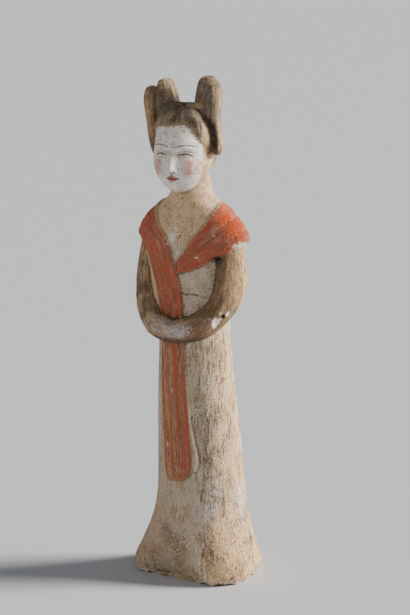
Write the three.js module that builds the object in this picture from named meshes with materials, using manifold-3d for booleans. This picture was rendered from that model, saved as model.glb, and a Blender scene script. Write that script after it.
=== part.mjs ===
// A painted pottery tomb attendant: a standing lady in a long flared skirt, her hands joined
// inside her sleeves, a long scarf round her shoulders and her hair in two looped rolls.
// It was pressed in a mould and fired as one piece, so it is one solid.
//
// Millimetres, +Z up. She faces -Y, her left hand is on the +X side, and the origin is on the
// ground under the middle of the skirt. A "level" is a height on the body: -1 is the ground,
// 0 the waist and 1 the top of the neck. A "turn" is an angle from the front towards her left.

import * as THREE from "three";
import { mergeVertices } from "three/addons/utils/BufferGeometryUtils.js";
import Module from "manifold-3d";

// Driving heights, each measured from the one before it.
const SKIRT_HEIGHT = 182; // ground to waist, where the sleeves hide the join
const TORSO_HEIGHT = 118; // waist to the top of the neck
const CHIN_DROP = 6; // how far the chin hangs below the top of the neck
const HEAD_HEIGHT = 63; // chin to crown, without the hair
const ROLL_RISE = 22; // crown to the tops of the hair rolls

const WAIST_Z = SKIRT_HEIGHT;
const NECK_Z = WAIST_Z + TORSO_HEIGHT;
const CHIN_Z = NECK_Z - CHIN_DROP;
const CROWN_Z = CHIN_Z + HEAD_HEIGHT;
const ROLL_TOP_Z = CROWN_Z + ROLL_RISE;

// The body's sections: "wide" is half the width, "front" and "back" are the two half depths,
// and x and y are where the section's middle is.
const BODY = [
  { level: -1.0, wide: 48.3, front: 35.5, back: 36.5, x: -0.5, y: 0.5 },
  { level: -0.965, wide: 49.7, front: 37.0, back: 38.0, x: -0.5, y: 0.3 },
  { level: -0.92, wide: 47.7, front: 36.5, back: 37.6, x: -0.1, y: 0.0 },
  { level: -0.85, wide: 42.8, front: 34.0, back: 36.0, x: 0.5, y: 0.3 },
  { level: -0.79, wide: 39.2, front: 31.5, back: 34.0, x: 0.3, y: 2.0 },
  { level: -0.72, wide: 36.3, front: 30.0, back: 31.5, x: 0.0, y: 3.6 },
  { level: -0.615, wide: 34.2, front: 29.2, back: 29.5, x: 0.0, y: 4.0 },
  { level: -0.41, wide: 32.3, front: 27.6, back: 27.8, x: -0.6, y: 1.6 },
  { level: -0.21, wide: 30.2, front: 25.8, back: 25.6, x: -1.5, y: -0.6 },
  { level: 0.0, wide: 27.8, front: 24.0, back: 23.5, x: -2.6, y: -1.6 },
  { level: 0.2, wide: 30.3, front: 23.0, back: 22.5, x: -5.2, y: -0.6 },
  { level: 0.4, wide: 33.1, front: 22.5, back: 22.0, x: -6.8, y: 0.8 },
  { level: 0.51, wide: 36.9, front: 22.5, back: 22.0, x: -6.3, y: 1.5 },
  { level: 0.58, wide: 41.8, front: 22.5, back: 22.0, x: -5.2, y: 1.7 },
  { level: 0.64, wide: 44.2, front: 22.0, back: 21.5, x: -5.4, y: 1.7 },
  { level: 0.7, wide: 42.8, front: 21.0, back: 21.0, x: -5.5, y: 1.5 },
  { level: 0.76, wide: 37.8, front: 19.5, back: 20.0, x: -5.7, y: 1.2 },
  { level: 0.82, wide: 30.4, front: 18.0, back: 19.0, x: -5.8, y: 0.9 },
  { level: 0.87, wide: 23.0, front: 16.8, back: 17.6, x: -6.0, y: 0.5 },
  { level: 0.92, wide: 16.8, front: 15.4, back: 16.0, x: -6.1, y: 0.0 },
  { level: 1.0, wide: 14.8, front: 14.6, back: 15.6, x: -6.3, y: -0.6 },
  { level: 1.12, wide: 13.0, front: 12.0, back: 11.0, x: -7.0, y: -4.0 },
];
const HEM_SQUARENESS = 0.22; // how far the hem's plan goes from an ellipse towards a rectangle
const HEM_SQUARE_HEIGHT = 62; // where that has faded out
const HEM_HOLLOW = 12; // the dip in the front of the hem, between its two lobes
const HEM_HOLLOW_TURN = -9; // degrees, where it is deepest
const HEM_HOLLOW_WIDTH = 28; // degrees
const HEM_HOLLOW_HEIGHT = 40; // where it has faded out
const HEM_LOSS = 0.08; // share of the plan that has broken away at the left end of the hem
const HEM_LOSS_TURN = 98; // degrees
const HEM_LOSS_WIDTH = 38; // degrees
const HEM_LOSS_HEIGHT = 13; // where it has faded out

// The joined sleeves, one tube from the left shoulder down, across the front and up again.
// Each row is a point on an arm's centre line with the tube's two radii there, and x is
// measured outwards from where the hands meet. The right arm is the slimmer one.
const SLEEVES_X = -6.0;
const LEFT_SLEEVE = [
  { x: 31.5, y: 1.0, level: 0.67, deep: 10.0, thick: 6.0 },
  { x: 33.2, y: 0.6, level: 0.58, deep: 13.0, thick: 8.4 },
  { x: 33.9, y: 0.0, level: 0.48, deep: 15.8, thick: 9.4 },
  { x: 34.2, y: -2.0, level: 0.356, deep: 17.0, thick: 9.7 },
  { x: 30.2, y: -8.5, level: 0.225, deep: 14.5, thick: 9.7 },
  { x: 22.0, y: -18.0, level: 0.14, deep: 11.5, thick: 9.6 },
  { x: 11.5, y: -25.0, level: 0.096, deep: 10.0, thick: 9.4 },
  { x: 0.0, y: -27.5, level: 0.084, deep: 10.0, thick: 9.0 },
];
const RIGHT_SLEEVE = [
  { x: 33.5, y: 1.5, level: 0.67, deep: 8.5, thick: 5.4 },
  { x: 35.6, y: 1.5, level: 0.58, deep: 10.5, thick: 7.0 },
  { x: 36.4, y: 1.0, level: 0.48, deep: 12.4, thick: 8.0 },
  { x: 36.2, y: -1.2, level: 0.356, deep: 13.6, thick: 8.4 },
  { x: 31.8, y: -7.6, level: 0.225, deep: 12.2, thick: 8.8 },
  { x: 22.6, y: -17.6, level: 0.14, deep: 10.8, thick: 9.2 },
  { x: 11.5, y: -25.0, level: 0.096, deep: 10.0, thick: 9.4 },
  { x: 0.0, y: -27.5, level: 0.084, deep: 10.0, thick: 9.0 },
];

// The scarf lies on the body in two panels that lap at the middle of the back. The shawl goes
// from the breast over the left shoulder; the sash goes on over the right shoulder, down the
// front and behind the sleeves. Its spare end shows beside it as a thinner panel.
// Each row crosses the panel from its inner to its outer edge, both [turn in degrees, level].
const SCARF_THICKNESS = 1.6;
const SCARF_BED = 3; // how far its hidden face lies inside the body
const SPARE_THICKNESS = 1.0;
const SHAWL_FOLDS = 3;
const SASH_FOLDS = 4;
const FOLD_DEPTH = 0.5;
const LAP_FADE = 30; // degrees over which a panel grows from its thin lapped end at the back
const LAP_THINNESS = 0.4; // how thick that end is, as a share of the panel's thickness
const SHAWL_LAP = 184; // degrees, where the shawl's back end is
const SASH_LAP = -184; // degrees, where the sash's back end is
const SHAWL = [
  { inner: [-0.8, 0.513], outer: [2, 0.445] },
  { inner: [6, 0.572], outer: [14.5, 0.458] },
  { inner: [19.5, 0.7], outer: [34, 0.505] },
  { inner: [46.5, 0.814], outer: [56, 0.585] },
  { inner: [80, 0.865], outer: [80, 0.645] },
  { inner: [120, 0.873], outer: [115, 0.625] },
  { inner: [SHAWL_LAP, 0.855], outer: [SHAWL_LAP, 0.575] },
];
const SASH = [
  { inner: [SASH_LAP, 0.855], outer: [SASH_LAP, 0.575] },
  { inner: [-120, 0.873], outer: [-115, 0.625] },
  { inner: [-80, 0.865], outer: [-80, 0.638] },
  { inner: [-52, 0.822], outer: [-61, 0.63] },
  { inner: [-33, 0.763], outer: [-51, 0.55] },
  { inner: [-13, 0.644], outer: [-44.5, 0.44] },
  { inner: [-6, 0.521], outer: [-37, 0.34] },
  { inner: [4, 0.407], outer: [-33, 0.246] },
  { inner: [8, 0.271], outer: [-31.5, 0.178] },
  { inner: [10, -0.022], outer: [-37, -0.033] },
  { inner: [13, -0.33], outer: [-31, -0.33] },
  { inner: [15, -0.46], outer: [-30, -0.467] },
  { inner: [13, -0.538], outer: [-28, -0.55] },
  { inner: [5, -0.571], outer: [-22, -0.58] },
];
const SPARE_END = [
  { inner: [15, -0.13], outer: [2, -0.13] },
  { inner: [16, -0.32], outer: [2, -0.32] },
  { inner: [19.5, -0.407], outer: [2, -0.407] },
  { inner: [23, -0.484], outer: [2, -0.484] },
  { inner: [19, -0.53], outer: [2, -0.527] },
];

// The head: an egg with the features of a calm, full face worked out from its own size.
const HEAD_HALF_WIDTH = 20.6;
const HEAD_HALF_DEPTH = 22.5;
const HEAD_X = -7.5;
const HEAD_Y = -10.2;
const HEAD_TURN = 8; // degrees, towards her left shoulder
const CHIN_FORWARD = 7;
const HAIR_THICKNESS = 2.2;
const HAIR_EDGE = 0.011; // half the height of the step at the hairline, as a share of the head's
const HAIR_LOBES = 1.6; // how much thicker the hair is over its two lobes, as a share of itself
// The hairline, at a turn from the face's front: a share of the head's height from the chin.
// It is squarer on her right.
const HAIRLINE = [
  { turn: -180, up: 0.2 },
  { turn: -130, up: 0.25 },
  { turn: -105, up: 0.37 },
  { turn: -90, up: 0.5 },
  { turn: -78, up: 0.62 },
  { turn: -67, up: 0.715 },
  { turn: -55, up: 0.752 },
  { turn: 0, up: 0.785 },
  { turn: 28, up: 0.788 },
  { turn: 38, up: 0.765 },
  { turn: 48, up: 0.7 },
  { turn: 57, up: 0.625 },
  { turn: 72, up: 0.55 },
  { turn: 88, up: 0.46 },
  { turn: 105, up: 0.37 },
  { turn: 130, up: 0.25 },
  { turn: 180, up: 0.2 },
];

// Each hair roll rises from the crown and falls beside the head to the jaw. "down" is measured
// from the roll's top, and "out" from a curve that each side sets between its own "top" and "foot",
// both measured from the head's middle.
const ROLL_RISER = [
  { out: -3.5, y: 0.0, down: 40, deep: 9.5, thick: 8.5 },
  { out: -0.6, y: 3.0, down: 25, deep: 9.8, thick: 9.4 },
  { out: 0.0, y: 4.5, down: 12, deep: 9.4, thick: 8.7 },
  { out: 0.0, y: 5.0, down: 4.5, deep: 7.6, thick: 7.2 },
  { out: 0.3, y: 5.0, down: 0.8, deep: 4.6, thick: 4.4 },
  { out: 0.3, y: 5.0, down: 0, deep: 2.2, thick: 2.0 },
];
const ROLL_FALL = [
  { out: -1.6, y: 4.5, down: 5.5, deep: 3.0, thick: 2.4 },
  { out: -0.6, y: 4.2, down: 8.5, deep: 7.0, thick: 5.0 },
  { out: 0.0, y: 3.6, down: 16, deep: 8.0, thick: 5.5 },
  { out: -0.4, y: 2.6, down: 28, deep: 7.2, thick: 4.6 },
  { out: 0.3, y: 2.0, down: 42, deep: 6.6, thick: 4.3 },
  { out: 0.5, y: 1.6, down: 53, deep: 5.8, thick: 4.0 },
  { out: 0.0, y: 1.4, down: 57, deep: 2.4, thick: 1.8 },
];
// The right roll stands lower than the left one, and its end leans in behind the cheek.
const LEFT_ROLL = { sign: 1, drop: 0, riser: { top: 17.9, foot: 17.8 }, fall: { top: 23.3, foot: 26.6 } };
const RIGHT_ROLL = { sign: -1, drop: 3.6, riser: { top: 16.8, foot: 10.5 }, fall: { top: 26.6, foot: 17.8 } };

// Damage: a chip on the left forearm, a pit at the crown and a broken notch in the hem.
const CHIP = { x: 30.8, y: -18.8, level: 0.185, wide: 2.6, deep: 2.6, high: 3.2 };
const CROWN_PIT = { x: -3.4, y: -13.5, level: 1.5, wide: 2.6, deep: 3.0, high: 2.8 };
const HEM_NOTCH = { x: -18.0, y: -25.5, level: -1, wide: 1.3, deep: 3.4, high: 6.5 };

const clamp = THREE.MathUtils.clamp;
const radians = THREE.MathUtils.degToRad;
const degrees = THREE.MathUtils.radToDeg;
const bell = (distance, width) => Math.exp(-((distance / width) ** 2));
const rise = (value, from, to) => {
  const t = clamp((value - from) / (to - from), 0, 1);
  return t * t * (3 - 2 * t);
};
const heightAt = (level) => WAIST_Z + level * (level > 0 ? TORSO_HEIGHT : SKIRT_HEIGHT);

// The value of one column of a list of stations, on a smooth curve through them.
function along(stations, column, at, place) {
  const last = stations.length - 1;
  const x = clamp(place, stations[0][at], stations[last][at]);
  let i = 0;
  while (i < last - 1 && stations[i + 1][at] < x) i++;
  const slope = (k) => {
    const a = stations[Math.max(k - 1, 0)];
    const b = stations[Math.min(k + 1, last)];
    return (b[column] - a[column]) / (b[at] - a[at]);
  };
  const step = stations[i + 1][at] - stations[i][at];
  const t = (x - stations[i][at]) / step;
  return (
    stations[i][column] * (1 + 2 * t) * (1 - t) ** 2 +
    stations[i + 1][column] * t * t * (3 - 2 * t) +
    slope(i) * step * t * (1 - t) ** 2 -
    slope(i + 1) * step * t * t * (1 - t)
  );
}

// The middle and half sizes of the body's section at a height.
function section(z) {
  const level = (z - WAIST_Z) / (z > WAIST_Z ? TORSO_HEIGHT : SKIRT_HEIGHT);
  const value = (column) => along(BODY, column, "level", level);
  return {
    wide: value("wide"),
    front: value("front"),
    back: value("back"),
    x: value("x"),
    y: value("y"),
  };
}

// A point on the body's skin, at a height and a turn.
function skin(turn, z) {
  const s = section(z);
  const low = 1 - rise(z, 0, HEM_SQUARE_HEIGHT);
  const power = 1 - HEM_SQUARENESS * low;
  const across = Math.sign(Math.sin(turn)) * Math.abs(Math.sin(turn)) ** power;
  const toFront = Math.sign(Math.cos(turn)) * Math.abs(Math.cos(turn)) ** power;
  const offFront = Math.atan2(Math.sin(turn), Math.cos(turn));
  const inHollow = bell(offFront - radians(HEM_HOLLOW_TURN), radians(HEM_HOLLOW_WIDTH));
  const hollow = HEM_HOLLOW * inHollow * (1 - rise(z, 0, HEM_HOLLOW_HEIGHT));
  const inLoss = bell(offFront - radians(HEM_LOSS_TURN), radians(HEM_LOSS_WIDTH));
  const kept = 1 - HEM_LOSS * inLoss * (1 - rise(z, 0, HEM_LOSS_HEIGHT));
  const depth = toFront > 0 ? s.front - hollow : s.back;
  return new THREE.Vector3(s.x + s.wide * across * kept, s.y - depth * toFront * kept, z);
}

// The same point lifted off the skin, square to it.
function lifted(turn, z, height) {
  const step = 0.5;
  const round = skin(turn + step / 30, z).sub(skin(turn - step / 30, z));
  const up = skin(turn, z + step).sub(skin(turn, Math.max(z - step, 0)));
  return skin(turn, z).addScaledVector(round.cross(up).normalize(), height);
}

// A closed mesh as a solid that can be joined and cut.
const wasm = await Module();
wasm.setup();

function solid(geometry) {
  geometry.deleteAttribute("normal");
  geometry.deleteAttribute("uv");
  const merged = mergeVertices(geometry, 1e-4);
  const mesh = new wasm.Mesh({
    numProp: 3,
    vertProperties: merged.attributes.position.array,
    triVerts: new Uint32Array(merged.index.array),
  });
  return new wasm.Manifold(mesh);
}

// Moves every vertex of a geometry to the point that place(x, y, z) gives.
function reshape(geometry, place) {
  const position = geometry.getAttribute("position");
  for (let i = 0; i < position.count; i++) {
    const p = place(position.getX(i), position.getY(i), position.getZ(i));
    position.setXYZ(i, p.x, p.y, p.z);
  }
  return geometry;
}

// Turns that lie closer together at the front than behind.
const crowded = (turn, share) => turn - share * Math.sin(turn);

const BODY_COLUMNS = 40;
const BODY_CROWDING = 0.3;
const NECK_INSIDE_HEAD = 12;
const BODY_ROWS = [
  { to: 3, rows: 1 },
  { to: 54, rows: 9 },
  { to: WAIST_Z, rows: 7 },
  { to: WAIST_Z + 0.5 * TORSO_HEIGHT, rows: 4 },
  { to: NECK_Z, rows: 12 },
  { to: NECK_Z + NECK_INSIDE_HEAD, rows: 1 },
];

function body() {
  const heights = [0];
  for (const { to, rows } of BODY_ROWS) {
    const from = heights[heights.length - 1];
    for (let i = 1; i <= rows; i++) heights.push(from + ((to - from) * i) / rows);
  }
  const rows = heights.length - 1;
  const drum = new THREE.CylinderGeometry(1, 1, rows, BODY_COLUMNS, rows);
  return reshape(drum, (x, y, z) => {
    const height = heights[Math.round(y + rows / 2)];
    const middle = section(height);
    if (Math.hypot(x, z) < 0.5) return new THREE.Vector3(middle.x, middle.y, height);
    return skin(crowded(Math.atan2(x, z), BODY_CROWDING), height);
  });
}

// A tube with its own two radii at each point. Its deep radius lies nearest to the Y axis.
function tube(stations, sides, steps) {
  const points = stations.map((s) => new THREE.Vector3(s.x, s.y, s.z));
  const path = new THREE.CatmullRomCurve3(points);
  stations.forEach((s, i) => (s.at = i / (stations.length - 1)));
  const drum = new THREE.CylinderGeometry(1, 1, 1, sides, steps);
  return reshape(drum, (x, y, z) => {
    const t = clamp(y + 0.5, 0, 1);
    const tangent = path.getTangent(t);
    const deep = new THREE.Vector3(0, 1, 0).addScaledVector(tangent, -tangent.y).normalize();
    const thick = new THREE.Vector3().crossVectors(tangent, deep);
    return path
      .getPoint(t)
      .addScaledVector(thick, x * along(stations, "thick", "at", t))
      .addScaledVector(deep, z * along(stations, "deep", "at", t));
  });
}

function sleeves() {
  const arm = (rows, sign) =>
    rows.map((s) => ({ ...s, x: SLEEVES_X + sign * s.x, z: heightAt(s.level) }));
  const stations = [...arm(LEFT_SLEEVE, 1), ...arm(RIGHT_SLEEVE, -1).reverse().slice(1)];
  return tube(stations, 14, 32);
}

// A panel of cloth that lies on the body, with a given number of folds across it. Where it laps
// another panel at a given turn, it thins out and its folds fade.
function panel(rows, { thickness, folds = 0, steps, lapTurn = Infinity }) {
  const edge = (name) => new THREE.SplineCurve(rows.map((row) => new THREE.Vector2(...row[name])));
  const inner = edge("inner");
  const outer = edge("outer");
  const across = Math.max(3 * folds, 2);
  const slab = new THREE.BoxGeometry(1, 1, 1, across, 1, steps);
  return reshape(slab, (x, y, z) => {
    const s = 0.5 - x;
    const spot = inner.getPoint(z + 0.5).lerp(outer.getPoint(z + 0.5), s);
    const full = clamp(Math.abs(spot.x - lapTurn) / LAP_FADE, 0, 1);
    const fold = folds ? FOLD_DEPTH * Math.cos(2 * Math.PI * folds * s) : 0;
    const top = thickness * (LAP_THINNESS + (1 - LAP_THINNESS) * full) - fold * full;
    return lifted(radians(spot.x), heightAt(spot.y), y > 0 ? top : -SCARF_BED);
  });
}

// How far the face stands out at a place on it: x is across and z up from the chin, all of
// them shares of the head's height.
function faceRelief(x, z) {
  const side = Math.abs(x);
  const nose =
    0.058 * bell(x, 0.046) * rise(z, 0.255, 0.282) * (1 - rise(z, 0.29, 0.52)) +
    0.02 * bell(x, 0.034) * rise(z, 0.255, 0.282) * (1 - rise(z, 0.4, 0.56));
  const wings = 0.022 * bell(side - 0.048, 0.026) * bell(z - 0.284, 0.026);
  const sockets = -0.03 * bell(side - 0.135, 0.085) * bell(z - 0.468, 0.052);
  const eyes = 0.02 * bell(side - 0.14, 0.062) * bell(z - 0.458, 0.03);
  const brows = 0.012 * bell(side - 0.14, 0.11) * bell(z - 0.545, 0.04);
  const mouth = 0.022 * bell(x, 0.095) * bell(z - 0.19, 0.062);
  const lips = 0.016 * bell(x, 0.06) * (bell(z - 0.206, 0.016) + bell(z - 0.166, 0.018));
  const parting = -0.016 * bell(x, 0.07) * bell(z - 0.187, 0.01);
  const chin = 0.026 * bell(x, 0.085) * bell(z - 0.075, 0.05);
  const cheeks = 0.022 * bell(side - 0.2, 0.11) * bell(z - 0.27, 0.11);
  return nose + wings + sockets + eyes + brows + mouth + lips + parting + chin + cheeks;
}

const HEAD_COLUMNS = 36;
const HEAD_CROWDING = 0.4;
const HAIR_ROWS = 10;
const FACE_ROWS = 18;
const FACE_CROWDING = 0.07; // how much closer together the rows are across the face's middle

// How far down the egg a row lies, from 0 at the crown to 1 at the chin. The rows follow the
// hairline, so its edge is smooth.
function rowShare(row, turn) {
  const hairline = along(HAIRLINE, "up", "turn", degrees(turn));
  const share = (up) => Math.acos(2 * up - 1) / Math.PI;
  const above = share(hairline + HAIR_EDGE);
  const below = share(hairline - HAIR_EDGE);
  if (row <= HAIR_ROWS) return (above * row) / HAIR_ROWS;
  const t = (row - HAIR_ROWS - 1) / (FACE_ROWS - 1);
  return below + (1 - below) * (t + FACE_CROWDING * Math.sin(2 * Math.PI * t));
}

function head() {
  const half = HEAD_HEIGHT / 2;
  const rows = HAIR_ROWS + FACE_ROWS;
  const egg = new THREE.SphereGeometry(1, HEAD_COLUMNS, rows);
  reshape(egg, (x, y, z) => {
    const row = Math.round((Math.acos(clamp(y, -1, 1)) / Math.PI) * rows);
    const atPole = row === 0 || row === rows;
    const turn = atPole ? 0 : crowded(Math.atan2(x, z), HEAD_CROWDING);
    const down = Math.PI * (atPole ? row / rows : rowShare(row, turn));
    const level = Math.sin(down);
    const height = Math.cos(down);
    const p = new THREE.Vector3(
      HEAD_HALF_WIDTH * level * Math.sin(turn) * (1 + 0.1 * bell(height + 0.45, 0.4)),
      -HEAD_HALF_DEPTH * level * Math.cos(turn) - CHIN_FORWARD * Math.max(-height, 0) ** 2,
      half * height,
    );
    const up = (p.z + half) / HEAD_HEIGHT;
    const side = Math.abs(p.x) / HEAD_HEIGHT;
    const facing = rise(-p.y / HEAD_HALF_DEPTH, 0.1, 0.5);
    if (row > HAIR_ROWS) {
      p.y -= facing * faceRelief(p.x / HEAD_HEIGHT, up) * HEAD_HEIGHT;
      return p;
    }
    const above = up - along(HAIRLINE, "up", "turn", degrees(turn));
    const lobe = 1 + HAIR_LOBES * bell(side - 0.19, 0.12) * rise(above, 0, 0.18);
    const parted = 1 - 0.8 * bell(side, 0.026) * facing * rise(above, 0, 0.06);
    return p.addScaledVector(p.clone().normalize(), HAIR_THICKNESS * lobe * parted);
  });
  egg.rotateZ(radians(HEAD_TURN));
  return egg.translate(HEAD_X, HEAD_Y, CHIN_Z + half);
}

function roll(strand, line, { sign, drop }, bend) {
  const reach = Math.max(...strand.map((s) => s.down));
  const stations = strand.map((s) => ({
    ...s,
    x: sign * (line.top + (line.foot - line.top) * (s.down / reach) ** bend + s.out),
    z: ROLL_TOP_Z - drop - s.down,
  }));
  const curl = tube(stations, 10, 3 * (strand.length - 1));
  curl.rotateZ(radians(HEAD_TURN));
  return curl.translate(HEAD_X, HEAD_Y, 0);
}

function dent({ x, y, level, wide, deep, high }) {
  return new THREE.SphereGeometry(1, 8, 5).scale(wide, deep, high).translate(x, y, heightAt(level));
}

function attendant() {
  const rolls = [LEFT_ROLL, RIGHT_ROLL].flatMap((side) => [
    roll(ROLL_RISER, side.riser, side, 1),
    roll(ROLL_FALL, side.fall, side, 3),
  ]);
  const scarf = [
    panel(SHAWL, { thickness: SCARF_THICKNESS, folds: SHAWL_FOLDS, steps: 20, lapTurn: SHAWL_LAP }),
    panel(SASH, { thickness: SCARF_THICKNESS, folds: SASH_FOLDS, steps: 38, lapTurn: SASH_LAP }),
    panel(SPARE_END, { thickness: SPARE_THICKNESS, steps: 8 }),
  ];
  const pieces = [body(), ...scarf, sleeves(), head(), ...rolls].map(solid);
  const whole = pieces.reduce((joined, piece) => joined.add(piece));
  return [CHIP, CROWN_PIT, HEM_NOTCH].reduce((cut, loss) => cut.subtract(solid(dent(loss))), whole);
}

function mesh(name, shape, material) {
  const { vertProperties, triVerts } = shape.getMesh();
  const geometry = new THREE.BufferGeometry();
  geometry.setAttribute("position", new THREE.BufferAttribute(vertProperties, 3));
  geometry.setIndex(new THREE.BufferAttribute(triVerts, 1));
  geometry.computeVertexNormals();
  const made = new THREE.Mesh(geometry, material);
  made.name = name;
  return made;
}

const pottery = new THREE.MeshStandardMaterial({
  color: 0xb9a48c,
  roughness: 0.9,
  metalness: 0,
});

const figure = new THREE.Group();
figure.add(mesh("attendant_figure", attendant(), pottery));

export default figure;
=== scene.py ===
"""The looks of a painted pottery tomb attendant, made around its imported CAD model.

Forms are worked out in millimetres in the CAD model's frame and turned into metres when the mesh
is made. She faces -Y and her left hand is on the +X side. A "level" is a height on the body: -1 is
the ground, 0 the waist and 1 the top of the neck. A "turn" is an angle from the front towards her
left, in degrees.
"""

import math

import bpy
import numpy as np
from mathutils import Matrix, Vector
from mathutils.kdtree import KDTree


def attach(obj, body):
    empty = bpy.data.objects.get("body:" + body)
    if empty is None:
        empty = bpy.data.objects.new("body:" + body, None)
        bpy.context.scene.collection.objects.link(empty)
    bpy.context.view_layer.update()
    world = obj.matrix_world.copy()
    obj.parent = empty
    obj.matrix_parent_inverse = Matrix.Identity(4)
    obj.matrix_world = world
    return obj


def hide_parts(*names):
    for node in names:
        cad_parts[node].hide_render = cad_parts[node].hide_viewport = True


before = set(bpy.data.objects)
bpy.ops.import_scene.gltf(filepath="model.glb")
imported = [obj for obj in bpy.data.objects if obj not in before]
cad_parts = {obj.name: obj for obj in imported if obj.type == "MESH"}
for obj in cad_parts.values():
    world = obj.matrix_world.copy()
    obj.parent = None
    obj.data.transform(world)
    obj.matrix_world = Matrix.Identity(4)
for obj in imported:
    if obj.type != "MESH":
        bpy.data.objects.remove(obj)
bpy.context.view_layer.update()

MM = 0.001
NODE = "attendant_figure"

# Driving heights, each measured from the one before it
SKIRT_HEIGHT = 182
TORSO_HEIGHT = 118
CHIN_DROP = 6
HEAD_HEIGHT = 63
ROLL_RISE = 22

WAIST_Z = SKIRT_HEIGHT
NECK_Z = WAIST_Z + TORSO_HEIGHT
CHIN_Z = NECK_Z - CHIN_DROP
CROWN_Z = CHIN_Z + HEAD_HEIGHT
ROLL_TOP_Z = CROWN_Z + ROLL_RISE

# The body's sections: level, half width, half depth in front and behind, middle x, middle y
BODY = np.array([
    (-1.0, 48.3, 35.5, 36.5, -0.5, 0.5),
    (-0.965, 49.7, 37.0, 38.0, -0.5, 0.3),
    (-0.92, 47.7, 36.5, 37.6, -0.1, 0.0),
    (-0.85, 42.8, 34.0, 36.0, 0.5, 0.3),
    (-0.79, 39.2, 31.5, 34.0, 0.3, 2.0),
    (-0.72, 36.3, 30.0, 31.5, 0.0, 3.6),
    (-0.615, 34.2, 29.2, 29.5, 0.0, 4.0),
    (-0.41, 32.3, 27.6, 27.8, -0.6, 1.6),
    (-0.21, 30.2, 25.8, 25.6, -1.5, -0.6),
    (0.0, 27.8, 24.0, 23.5, -2.6, -1.6),
    (0.2, 30.3, 23.0, 22.5, -5.2, -0.6),
    (0.4, 33.1, 22.5, 22.0, -6.8, 0.8),
    (0.51, 36.9, 22.5, 22.0, -6.3, 1.5),
    (0.58, 41.8, 22.5, 22.0, -5.2, 1.7),
    (0.64, 44.2, 22.0, 21.5, -5.4, 1.7),
    (0.7, 42.8, 21.0, 21.0, -5.5, 1.5),
    (0.76, 37.8, 19.5, 20.0, -5.7, 1.2),
    (0.82, 30.4, 18.0, 19.0, -5.8, 0.9),
    (0.87, 23.0, 16.8, 17.6, -6.0, 0.5),
    (0.92, 16.8, 15.4, 16.0, -6.1, 0.0),
    (1.0, 14.8, 14.6, 15.6, -6.3, -0.6),
    (1.12, 13.0, 12.0, 11.0, -7.0, -4.0),
])
# The foot: its squarer plan, the hollow in its front, and the worn edge on her left
HEM_SQUARENESS = 0.22
HEM_SQUARE_HEIGHT = 62
HEM_HOLLOW = 12
HEM_HOLLOW_TURN = math.radians(-9)
HEM_HOLLOW_WIDTH = math.radians(28)
HEM_HOLLOW_HEIGHT = 40
HEM_LOSS = 0.08
HEM_LOSS_TURN = math.radians(98)
HEM_LOSS_WIDTH = math.radians(38)
HEM_LOSS_HEIGHT = 13

# The sleeves: out from the body's middle, y, level, deep radius, thick radius
LEFT_SLEEVE = np.array([
    (31.5, 1.0, 0.67, 10.0, 6.0),
    (33.2, 0.6, 0.58, 13.0, 8.4),
    (33.9, 0.0, 0.48, 15.8, 9.4),
    (34.2, -2.0, 0.356, 17.0, 9.7),
    (30.2, -8.5, 0.225, 14.5, 9.7),
    (22.0, -18.0, 0.14, 11.5, 9.6),
    (11.5, -25.0, 0.096, 10.0, 9.4),
    (0.0, -27.5, 0.084, 10.0, 9.0),
])
RIGHT_SLEEVE = np.array([
    (33.5, 1.5, 0.67, 8.5, 5.4),
    (35.6, 1.5, 0.58, 10.5, 7.0),
    (36.4, 1.0, 0.48, 12.4, 8.0),
    (36.2, -1.2, 0.356, 13.6, 8.4),
    (31.8, -7.6, 0.225, 12.2, 8.8),
    (22.6, -17.6, 0.14, 10.8, 9.2),
    (11.5, -25.0, 0.096, 10.0, 9.4),
    (0.0, -27.5, 0.084, 10.0, 9.0),
])
SLEEVES_X = -6.0
SLEEVE_TOP_Z = 239  # the scarf lies over the sleeves above this height
SCARF_FOOT_Z = 70

# The scarf. Behind her its two panels thin out where one laps over the other
SCARF_THICKNESS = 1.6
SCARF_BED = 3  # how deep the panels reach into the body
SPARE_THICKNESS = 1.0
LAP_FADE = 30
LAP_THINNESS = 0.4
SHAWL_LAP = 184
SASH_LAP = -184
# The panels and the spare end: inner edge's turn and level, then outer edge's turn and level
SHAWL = np.array([
    (-0.8, 0.513, 2, 0.445),
    (6, 0.572, 14.5, 0.458),
    (19.5, 0.7, 34, 0.505),
    (46.5, 0.814, 56, 0.585),
    (80, 0.865, 80, 0.645),
    (120, 0.873, 115, 0.625),
    (SHAWL_LAP, 0.855, SHAWL_LAP, 0.575),
])
SASH = np.array([
    (SASH_LAP, 0.855, SASH_LAP, 0.575),
    (-120, 0.873, -115, 0.625),
    (-80, 0.865, -80, 0.638),
    (-52, 0.822, -61, 0.63),
    (-33, 0.763, -51, 0.55),
    (-13, 0.644, -44.5, 0.44),
    (-6, 0.521, -37, 0.34),
    (4, 0.407, -33, 0.246),
    (8, 0.271, -31.5, 0.178),
    (10, -0.022, -37, -0.033),
    (13, -0.33, -31, -0.33),
    (15, -0.46, -30, -0.467),
    (13, -0.538, -28, -0.55),
    (5, -0.571, -22, -0.58),
])
SPARE_END = np.array([
    (15, -0.13, 2, -0.13),
    (16, -0.32, 2, -0.32),
    (19.5, -0.407, 2, -0.407),
    (23, -0.484, 2, -0.484),
    (19, -0.53, 2, -0.527),
])

# The head, an egg whose features are shares of its own height
HEAD_HALF_WIDTH = 20.6
HEAD_HALF_DEPTH = 22.5
HEAD_X = -7.5
HEAD_Y = -10.2
HEAD_TURN = math.radians(8)
CHIN_FORWARD = 7
HAIR_THICKNESS = 2.2
HAIR_LOBES = 1.6
HAIR_EDGE = 0.006
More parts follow.
